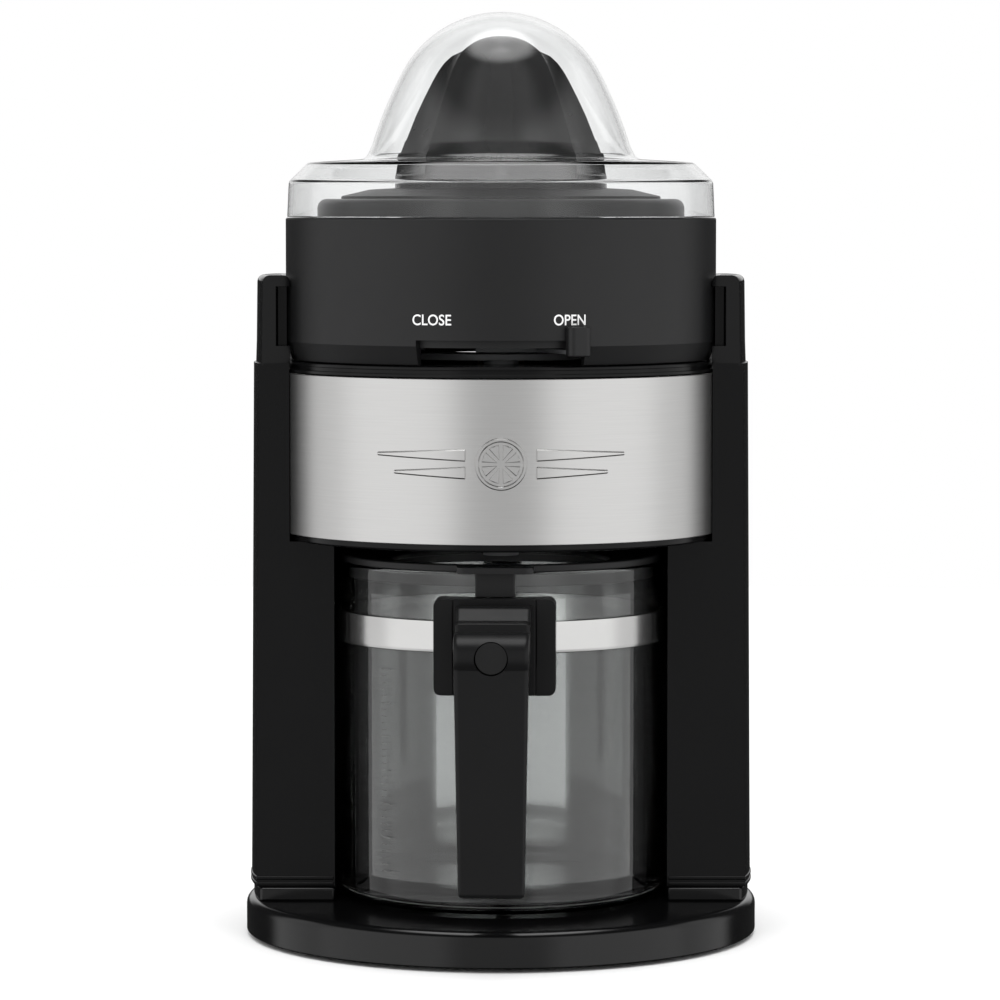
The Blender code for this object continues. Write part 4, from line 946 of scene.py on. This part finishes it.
def make_basket():
    basket = Sides("pulp_basket")
    lip = Sides("juice_bowl").top - 1.5 * MM
    outer = BOWL_RADIUS - 11.9 * MM
    low = outer - 6 * MM
    wall = 2.2 * MM
    floor = basket.bottom + 2.2 * MM
    rim = basket.top
    bore = 5.5 * MM
    outline = softened([
        (bore, basket.bottom, 0.3 * MM), (low, basket.bottom, 2.0 * MM), (outer - 0.6 * MM, lip),
        (basket.half, lip, 0.3 * MM), (basket.half, lip + 1.4 * MM, 0.5 * MM),
        (outer, lip + 1.4 * MM, 0.8 * MM),
        (outer, rim, 3.6 * MM), (outer - 7.4 * MM, rim, 0.8 * MM), (outer - 7.4 * MM, rim - 2 * MM, 0.8 * MM),
        (outer - wall, rim - 2 * MM, 2.0 * MM), (low - wall, floor, 2.5 * MM),
        (bore + 3 * MM, floor, 1.0 * MM), (bore + 3 * MM, floor + 5.8 * MM, 0.6 * MM),
        (bore, floor + 5.8 * MM, 0.6 * MM)])
    piece = new_piece("basket_body", Shape().turned(outline).mesh("basket_body"))
    carved(piece, radial_boxes(12, 21 * MM, low - 7 * MM, 1.3 * MM, basket.bottom - MM, floor + MM, 15, 0.9))
    carved(piece, radial_boxes(24, 34 * MM, low - 7 * MM, 0.8 * MM, basket.bottom - MM, floor + MM, 7.5, 0.9))
    outfit(bevelled(piece, 0.25 * MM, 2, 50), "dark_grey", "basket", "pulp_basket")


def make_sweeper():
    sweeper = Sides("pulp_sweeper")
    bore = Sides("reamer_cone").half + 0.5 * MM
    outer = bore + 2.0 * MM
    foot = Sides("drive_shaft").top
    top = sweeper.top
    edge = top - 3.0 * MM
    outline = softened([
        (bore, foot, 0.3 * MM), (outer, foot, 0.3 * MM), (outer, top - 1.8 * MM, 2.0 * MM),
        (sweeper.half, edge - 1.3 * MM, 0.3 * MM), (sweeper.half, edge, 0.5 * MM),
        (outer + 7 * MM, top - 0.5 * MM, 6 * MM), (bore, top, 0.5 * MM)])
    piece = new_piece("sweeper_body", Shape().turned(outline).mesh("sweeper_body"))
    spokes = radial_boxes(3, 8 * MM, bore + MM, 3 * MM, foot + 0.1 * MM, foot + 2.4 * MM, 0, 0.1)
    carved(piece, spokes, "UNION")
    inner = 8 * MM
    outline = softened([
        (inner, foot - 4 * MM, 0.3 * MM), (inner + 2.4 * MM, foot - 4 * MM, 0.5 * MM),
        (inner + 2.4 * MM, foot + 2.3 * MM, 0.5 * MM), (inner, foot + 2.3 * MM, 0.3 * MM)])
    hub = Shape().turned(outline, steps=64)
    carved(piece, hub, "UNION")
    blade = Shape().prism(box_outline(12 * MM, Sides("pulp_basket").half - 21 * MM, AXIS.y - 1.2 * MM,
                                      AXIS.y + 1.2 * MM, 0.5 * MM), sweeper.bottom, foot + MM)
    carved(piece, blade, "UNION")
    outfit(bevelled(piece, 0.3 * MM, 2, 50), "satin_black", "sweeper", "pulp_sweeper")


def reamer_ring(z, main, minor, flute, crest, steps=288):
    """One level of the ribbed cone: four main ribs, four lesser ones and hollow flutes between."""
    points = []
    for k in range(steps):
        angle = 2 * math.pi * k / steps
        wave = math.cos(4 * angle)
        size = minor + (main - minor) * ((1 - wave) / 2) ** 1.5
        size += crest * (abs(wave) ** 30 - 1) - flute * abs(math.sin(4 * angle)) ** 0.85
        points.append((AXIS.x + size * math.cos(angle), AXIS.y + size * math.sin(angle), z))
    return points


def make_reamer():
    reamer = Sides("reamer_cone")
    full = reamer.half
    low = reamer.bottom + 19 * MM
    flat = reamer.bottom + 31 * MM
    # height over the flat, main rib radius, lesser rib radius, flute depth, crest height
    rows = [(0, 39.8, 39.8, 0, 0), (0.5, 39.7, 39.6, 0.5, 0), (1.3, 39.5, 39.4, 2.2, 0.3),
            (6, 38.8, 38.7, 4.4, 0.6),
            (10.5, 37.2, 37.1, 5.2, 0.7), (15.1, 35.4, 35.1, 5.5, 0.8), (22.9, 32.4, 32.0, 5.4, 0.8),
            (29.3, 29.8, 29.0, 5.0, 0.8), (35.8, 26.9, 25.7, 4.3, 0.8), (39.7, 25.0, 23.5, 3.8, 0.7),
            (43.0, 23.0, 21.2, 3.2, 0.6), (45.5, 21.0, 18.5, 2.6, 0.5), (46.8, 19.7, 15.6, 2.1, 0.4),
            (48.1, 17.7, 13.0, 1.5, 0.4), (49.6, 14.9, 11.0, 1.0, 0.3), (50.8, 12.1, 9.2, 0.6, 0.2),
            (51.8, 8.9, 7.0, 0.3, 0.1), (52.5, 5.6, 4.8, 0.1, 0), (52.9, 2.8, 2.6, 0, 0),
            (53, 0.7, 0.7, 0, 0)]
    rings = [reamer_ring(low, full, full, 0, 0)]
    rings += [reamer_ring(flat + height * MM, *(size * MM for size in row)) for height, *row in rows]
    piece = new_piece("reamer_body", Shape().strip(rings).mesh("reamer_body"), 60)
    inside = full - 3 * MM
    hollow = Shape().turned([(0, low - MM), (inside, low - MM), (inside, flat - 4 * MM),
                             (full * 0.68, flat + 9 * MM), (full * 0.34, flat + 32 * MM),
                             (0, flat + 32 * MM)])
    carved(piece, hollow)
    bore = 4.4 * MM
    outer = 7.5 * MM
    roof = flat + 33 * MM
    outline = softened([(bore, reamer.bottom, 0.3 * MM), (outer, reamer.bottom, 0.6 * MM),
                        (outer, roof), (bore, roof)])
    carved(piece, Shape().turned(outline, steps=64), "UNION")
    outfit(piece, "reamer_black", "reamer", "reamer_cone", slot="satin_black")


# ---------------------------------------------------------------- dust cover
def walk(start, heading, bends, steps):
    """Points of a run of arcs (radius, degrees) drawn outwards and downwards from start."""
    points = [start]
    for radius, turn in bends:
        for _ in range(steps):
            step = math.radians(turn) / steps
            middle = math.radians(heading) + step / 2
            length = 2 * radius * math.sin(step / 2)
            r, z = points[-1]
            points.append((r + length * math.cos(middle), z - length * math.sin(middle)))
            heading += turn / steps
    return points


def cover_outline(inset):
    cover = Sides("dust_cover")
    low = cover.bottom
    half = cover.half
    dome = walk((0, cover.top), 0, [(41.8 * MM, 62), (156 * MM, 11)], 20)
    edge_r, edge_z = dome[-1]
    shoulder = low + 20.3 * MM
    skirt = shoulder + (edge_z - shoulder) * 0.2
    corners = [dome[-2], (edge_r, edge_z), (edge_r + 2.5 * MM, skirt, 4 * MM),
               (half - 7.9 * MM, shoulder, 2.5 * MM), (half - 0.6 * MM, low + 13.2 * MM, 2.5 * MM),
               (half, low)]
    outline = dome[:-2] + softened(corners, False, 8)
    if not inset:
        return outline
    inner = []
    for k, (r, z) in enumerate(outline):
        before = Vector(outline[max(k - 1, 0)])
        after = Vector(outline[min(k + 1, len(outline) - 1)])
        along = (after - before).normalized()
        inner.append((max(r + along.y * inset, 0), z - along.x * inset))
    inner[0] = (0, cover.top - inset)
    inner[-1] = (inner[-1][0], low)
    return inner


def make_cover():
    cover = Sides("dust_cover")
    wall = 1.9 * MM
    outside = cover_outline(0)
    inside = cover_outline(wall)
    lip = [(cover.half - 0.15 * MM, cover.bottom), (inside[-1][0] + 0.15 * MM, cover.bottom)]
    outline = outside[:-1] + [(cover.half, cover.bottom + 0.2 * MM)] + lip + [
        (inside[-1][0], cover.bottom + 0.2 * MM)] + list(reversed(inside[:-1]))
    shape = Shape().turned(outline)
    piece = new_piece("cover_body", shape.mesh("cover_body"))
    outfit(piece, "clear_plastic", "cover", "dust_cover")


# ---------------------------------------------------------------- carafe
GLASS = Sides("carafe_glass")
GRIP = Sides("grip_cap")
CARAFE_TURN = math.atan2(GRIP.centre.x - CARAFE_AXIS.x, CARAFE_AXIS.y - GRIP.centre.y)


def carafe_place():
    """From the carafe's own axes, with the handle at -Y, to its place in the machine."""
    return Matrix.Translation((CARAFE_AXIS.x, CARAFE_AXIS.y, 0)) @ Matrix.Rotation(CARAFE_TURN, 4, "Z")


def make_glass():
    radius = GLASS.half
    wall = 2.5 * MM
    floor = GLASS.bottom + 6 * MM
    inner = radius - wall
    outline = softened([
        (0, GLASS.bottom + 0.9 * MM), (radius - 14 * MM, GLASS.bottom + 0.5 * MM, 3 * MM),
        (radius - 10 * MM, GLASS.bottom, 1.5 * MM), (radius, GLASS.bottom, 7.5 * MM),
        (radius, GLASS.top, 1.1 * MM), (inner, GLASS.top, 1.1 * MM), (inner, floor, 5.5 * MM), (0, floor)],
        False, 10)
    piece = new_piece("glass_body", Shape().turned(outline, CARAFE_AXIS).mesh("glass_body"))
    outfit(piece, "clear_glass", "carafe", "carafe_glass")
    make_measure_marks()


def make_measure_marks():
    """Short printed ticks up the left of the carafe, long ones at every fifth."""
    shape = Shape()
    radius = GLASS.half + 0.02 * MM
    start = -47.0
    for k in range(31):
        z = GLASS.bottom + (14 + 2.5 * k) * MM
        length = 5.0 if k % 5 == 0 else 2.6
        outline = sector(radius - 0.02 * MM, radius + 0.05 * MM, start, start + length, 6, CARAFE_AXIS)
        shape.prism(outline, z, z + 0.3 * MM)
    outfit(new_piece("glass_marks", shape.mesh("glass_marks")), "mark_ink", "carafe", slot="white_plastic")


def make_clamp():
    clamp = Sides("carafe_band")
    inner = GLASS.half + 0.25 * MM
    bulge = 0.15 * MM
    outline = softened([(inner, clamp.bottom, 0.2 * MM), (clamp.half - bulge, clamp.bottom, 0.4 * MM),
                        (clamp.half, clamp.bottom + 1.2 * MM, 1 * MM),
                        (clamp.half, clamp.top - 1.2 * MM, 1 * MM),
                        (clamp.half - bulge, clamp.top, 0.4 * MM), (inner, clamp.top, 0.2 * MM)])
    piece = new_piece("clamp_ring", Shape().turned(outline, CARAFE_AXIS).mesh("clamp_ring"))
    outfit(piece, "polished_steel", "carafe", "carafe_band")


def make_bracket():
    bracket = Sides("handle_bracket")
    half = 22.1 * MM
    front = -(GLASS.half + 12 * MM)
    face = softened([(-half, bracket.bottom, 2.6 * MM), (half, bracket.bottom, 2.6 * MM),
                     (half, bracket.top, 2.6 * MM), (-half, bracket.top, 2.6 * MM)])
    shape = Shape().strip([[(x, front, z) for x, z in face], [(x, front + 14 * MM, z) for x, z in face]])
    piece = new_piece("bracket_body", shape.turn(carafe_place()).mesh("bracket_body"))
    clamp = Sides("carafe_band").half + 0.3 * MM
    carved(piece, Shape().rod(clamp, bracket.bottom - MM, bracket.top + MM,
                              CARAFE_AXIS.x, CARAFE_AXIS.y, 256))
    groove = Shape()
    for side in (-1, 1):
        x0, x1 = sorted((side * 14.6 * MM, side * 15.2 * MM))
        groove.prism([(x0, front - MM), (x1, front - MM), (x1, front + 0.5 * MM), (x0, front + 0.5 * MM)],
                     bracket.bottom - MM, bracket.top + MM)
    carved(piece, groove.turn(carafe_place()))
    bevelled(piece, 0.7 * MM, 3)
    outfit(settled(piece, 40), "matte_black", "carafe", "handle_bracket")


def grip_half(z):
    grip = Sides("handle_grip")
    share = max(0.0, min(1.0, (z - grip.bottom) / (grip.top - grip.bottom)))
    return (11.8 + 1.9 * share) * MM


def make_grip():
    """Side view of the handle drawn in y and z, then given its width."""
    grip = Sides("handle_grip")
    high = grip.top
    front = -(GLASS.half + 48.9 * MM)
    back = -(GLASS.half + 12.3 * MM)
    middle_y = front + 8.6 * MM
    middle_z = high - 16 * MM
    bulge = []
    for k in range(25):
        angle = math.radians(90 + 120 * k / 24)
        bulge.append((middle_y + 8.6 * MM * math.cos(angle), middle_z + 8.6 * MM * math.sin(angle)))
    strap = bulge[-1][0]
    behind = strap + 7.5 * MM
    step = high - 4.6 * MM
    outline = softened([(back, high, 0.6 * MM), (back - 9 * MM, high, 3 * MM),
                        (back - 14 * MM, step, 1.2 * MM),
                        (middle_y + 6 * MM, step, 0.8 * MM), (middle_y + 5 * MM, high - 7.4 * MM)], False)
    outline += bulge
    outline += softened([(strap, middle_z - 12 * MM), (strap, grip.bottom, 1.8 * MM),
                         (behind, grip.bottom, 2.6 * MM),
                         (behind, middle_z - 16 * MM, 5 * MM), (behind + 7 * MM, middle_z - 7 * MM, 4 * MM),
                         (back, middle_z - 7 * MM)], False)
    rings = []
    for share, inset in ((-1.0, 1.6), (-0.985, 0.8), (-0.94, 0.25), (-0.86, 0.0), (0.86, 0.0), (0.94, 0.25),
                         (0.985, 0.8), (1.0, 1.6)):
        rings.append([(share * grip_half(z), *toward(outline, k, inset * MM))
                      for k, (y, z) in enumerate(outline)])
    piece = new_piece("grip_body", Shape().strip(rings).turn(carafe_place()).mesh("grip_body"), 40)
    cap = GRIP.centre
    bore = Shape().rod(6.05 * MM, -6 * MM, 3 * MM, 0, 0, 96)
    place = Matrix.Translation((0, front + 3.0 * MM, cap.z)) @ Matrix.Rotation(math.radians(90), 4, "X")
    carved(piece, bore.turn(carafe_place() @ place))
    outfit(piece, "matte_black", "carafe", "handle_grip")
    edge = 5.95 * MM
    outline = softened([(0, -2.6 * MM), (edge, -2.6 * MM, 0.3 * MM), (edge, 0.3 * MM, 0.4 * MM),
                        (0, 0.4 * MM)], False)
    button = Shape().turned(outline, Vector((0, 0, 0)), 96)
    button.turn(carafe_place() @ place)
    outfit(new_piece("grip_button", button.mesh("grip_button")), "base_black", "carafe", "grip_cap",
           slot="matte_black")


def toward(outline, k, inset):
    """The outline's point k moved inwards along its own normal."""
    before = Vector(outline[k - 1])
    after = Vector(outline[(k + 1) % len(outline)])
    along = (after - before).normalized()
    here = Vector(outline[k])
    return here.x - along.y * inset, here.y + along.x * inset


def make_lid():
    lid = Sides("carafe_lid")
    low = lid.top - 2.7 * MM
    top = lid.top
    radius = GLASS.half
    plug = radius - 2.9 * MM
    opening = 41 * MM
    outline = softened([
        (opening, low - 1.5 * MM, 0.5 * MM), (plug - 2.2 * MM, low - 0.4 * MM),
        (plug - 2.2 * MM, low - 5.5 * MM, 0.4 * MM),
        (plug, low - 5.5 * MM, 0.4 * MM), (plug, low), (radius - 0.2 * MM, low, 0.3 * MM),
        (radius - 0.2 * MM, top, 0.7 * MM), (radius - 2.5 * MM, top, 1 * MM),
        (opening, low + 0.4 * MM, 0.5 * MM)])
    piece = new_piece("lid_body", Shape().turned(outline, CARAFE_AXIS).mesh("lid_body"))
    wide = 14 * MM
    tip = -(radius + 10 * MM)
    root = 4 * MM - radius
    tab = Shape().prism(softened([(-wide, tip, 3 * MM), (wide, tip, 3 * MM), (wide, root), (-wide, root)]),
                        low + 0.2 * MM, top - 0.4 * MM)
    carved(piece, tab.turn(carafe_place()), "UNION")
    neck = Shape().prism(box_outline(-7.3 * MM, 7.3 * MM, -(radius + 5 * MM), -(radius + 1.2 * MM), 0.8 * MM),
                         lid.bottom, low + MM)
    carved(piece, neck.turn(carafe_place()), "UNION")
    outfit(bevelled(piece, 0.3 * MM, 2, 50), "satin_black", "carafe", "carafe_lid")


# ---------------------------------------------------------------- inside
def make_inside():
    """Inner pieces keep their CAD shape and take the procedural finish of their slot."""
    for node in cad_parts.values():
        for slot in node.material_slots:
            name = slot.material.name.split(".")[0]
            slot.material = bpy.data.materials[name + FINISH]


# ---------------------------------------------------------------- studio
def make_floor():
    finish = Finish("floor", (0.96, 0.96, 0.96), 0.9, {"Specular IOR Level": 0.0})
    finish.shades(finish.noise(3.0, 2.0), 0.99, 1.0)
    mesh = Shape().turned([(0, 0), (1.5, 0), (1.5, -0.01), (0, -0.01)], steps=96).mesh("floor")
    floor = new_piece("studio_floor", mesh)
    floor.data.materials.append(finish.material)
    floor.visible_glossy = False


def make_world():
    """White, but reflections see dark walls with tall soft boxes, and clear walls bend in darker sides."""
    world = bpy.data.worlds.new("studio")
    bpy.context.scene.world = world
    world.use_nodes = True
    net = Net(world.node_tree)
    x, y, z = net.parts(net.node("ShaderNodeTexCoord", output="Generated"))
    side = x.math("ABSOLUTE", x.math("ARCTAN2", x, 0.0 - y)) * math.degrees(1)
    tall = z.between(-0.45, -0.25) * (1.0 - z.between(0.55, 0.7))
    boxes = side.between(16.0, 30.0) * (1.0 - side.between(82.0, 94.0)) * 1.2
    edges = side.between(82.0, 94.0) * (1.0 - side.between(116.0, 128.0)) * 0.85
    gap = (1.0 - side.between(16.0, 30.0)) * 0.62
    ceiling = z.between(0.88, 0.96) * 4.5
    back = side.between(150.0, 166.0) * z.between(0.02, 0.06) * 0.9
    studio = (boxes + edges + gap + back) * tall + ceiling + 0.03
    glossy = net.node("ShaderNodeLightPath", output="Is Glossy Ray")
    through = net.node("ShaderNodeLightPath", output="Is Transmission Ray")
    mirror = glossy * (1.0 - through)
    beside = side.between(25.0, 60.0) * (1.0 - side.between(130.0, 165.0))
    level = mirror * studio + (1.0 - mirror) * (1.0 - through * beside * 0.75)
    background = net.tree.nodes["Background"]
    net.feed(background.inputs["Color"], (1.0, 1.0, 1.0, 1.0))
    net.feed(background.inputs["Strength"], level)


def make_lights():
    lamp = bpy.data.lights.new("overhead", "AREA")
    lamp.shape = "DISK"
    lamp.size = 1.6
    lamp.energy = 16.0
    light = bpy.data.objects.new("overhead", lamp)
    light.location = (0, AXIS.y - 0.25, 1.5)
    light.visible_glossy = False
    light.visible_transmission = False
    bpy.context.scene.collection.objects.link(light)


def make_camera():
    size = sizes()
    camera = bpy.data.cameras.new("camera")
    camera.lens = size.camera_lens
    camera.sensor_width = 36.0
    holder = bpy.data.objects.new("camera", camera)
    holder.location = (-size.camera_side, AXIS.y - size.camera_distance, size.camera_height)
    holder.rotation_euler = (math.pi / 2 - size.camera_pitch, 0, 0)
    bpy.context.scene.collection.objects.link(holder)
    bpy.context.scene.camera = holder


def make_stage():
    make_floor()
    make_world()
    make_lights()
    make_camera()
    scene = bpy.context.scene
    scene.view_settings.view_transform = "Standard"
    scene.view_settings.look = "None"


# ---------------------------------------------------------------- add-on
class Step(Operator):
    """Shared by every step: it runs the step's makers in order."""

    bl_options = {"REGISTER", "UNDO"}
    makers = ()

    def execute(self, context):
        for maker in self.makers:
            maker()
        return {"FINISHED"}


class JUICER_OT_finishes(Step):
    """Build the procedural finishes"""

    bl_idname = "juicer.finishes"
    bl_label = "Finishes"
    makers = (make_finishes, make_inside)


class JUICER_OT_base(Step):
    """Build the base tray, its floor, feet and screws"""

    bl_idname = "juicer.base"
    bl_label = "Base"
    makers = (make_base_tray, make_base_underside)


class JUICER_OT_column(Step):
    """Build both pillars, the bay's liner and the rear cover"""

    bl_idname = "juicer.column"
    bl_label = "Column"
    makers = (make_pillars, make_rear)


class JUICER_OT_housing(Step):
    """Build the motor housing, its deck and the steel band"""

    bl_idname = "juicer.housing"
    bl_label = "Motor housing"
    makers = (make_motor_shell, make_deck, make_band)


class JUICER_OT_bowl(Step):
    """Build the juice bowl with its outlet and lettering"""

    bl_idname = "juicer.bowl"
    bl_label = "Juice bowl"
    makers = (make_bowl, make_outlet)


class JUICER_OT_lever(Step):
    """Build the lever's knob and shutter"""

    bl_idname = "juicer.lever"
    bl_label = "Lever"
    makers = (make_lever,)


class JUICER_OT_basket(Step):
    """Build the pulp basket"""

    bl_idname = "juicer.basket"
    bl_label = "Pulp basket"
    makers = (make_basket,)


class JUICER_OT_sweeper(Step):
    """Build the pulp sweeper"""

    bl_idname = "juicer.sweeper"
    bl_label = "Pulp sweeper"
    makers = (make_sweeper,)


class JUICER_OT_reamer(Step):
    """Build the reamer cone"""

    bl_idname = "juicer.reamer"
    bl_label = "Reamer"
    makers = (make_reamer,)


class JUICER_OT_cover(Step):
    """Build the clear dust cover"""

    bl_idname = "juicer.cover"
    bl_label = "Dust cover"
    makers = (make_cover,)


class JUICER_OT_carafe(Step):
    """Build the glass carafe, its steel ring and lid"""

    bl_idname = "juicer.carafe"
    bl_label = "Carafe"
    makers = (make_glass, make_clamp, make_lid)


class JUICER_OT_handle(Step):
    """Build the carafe's bracket and grip"""

    bl_idname = "juicer.handle"
    bl_label = "Carafe handle"
    makers = (make_bracket, make_grip)


class JUICER_OT_stage(Step):
    """Build the floor, studio light and camera"""

    bl_idname = "juicer.stage"
    bl_label = "Stage"
    makers = (make_stage,)


STEPS = (JUICER_OT_finishes, JUICER_OT_base, JUICER_OT_column, JUICER_OT_housing, JUICER_OT_bowl,
         JUICER_OT_lever, JUICER_OT_basket, JUICER_OT_sweeper, JUICER_OT_reamer, JUICER_OT_cover,
         JUICER_OT_carafe, JUICER_OT_handle, JUICER_OT_stage)


class JUICER_PT_panel(Panel):
    """The steps in the order they run"""

    bl_idname = "JUICER_PT_panel"
    bl_label = "Juicer"
    bl_space_type = "VIEW_3D"
    bl_region_type = "UI"
    bl_category = "Juicer"

    def draw(self, context):
        for step in STEPS:
            self.layout.operator(step.bl_idname)


CLASSES = (JuicerSizes, JuicerColours, *STEPS, JUICER_PT_panel)


def register():
    for entry in CLASSES:
        bpy.utils.register_class(entry)
    bpy.types.Scene.juicer_sizes = PointerProperty(type=JuicerSizes)
    bpy.types.Scene.juicer_colours = PointerProperty(type=JuicerColours)


def unregister():
    del bpy.types.Scene.juicer_colours
    del bpy.types.Scene.juicer_sizes
    for entry in reversed(CLASSES):
        bpy.utils.unregister_class(entry)


def main():
    register()
    for step in STEPS:
        group, name = step.bl_idname.split(".")
        getattr(getattr(bpy.ops, group), name)()
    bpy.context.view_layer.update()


if __name__ == "__main__":
    main()
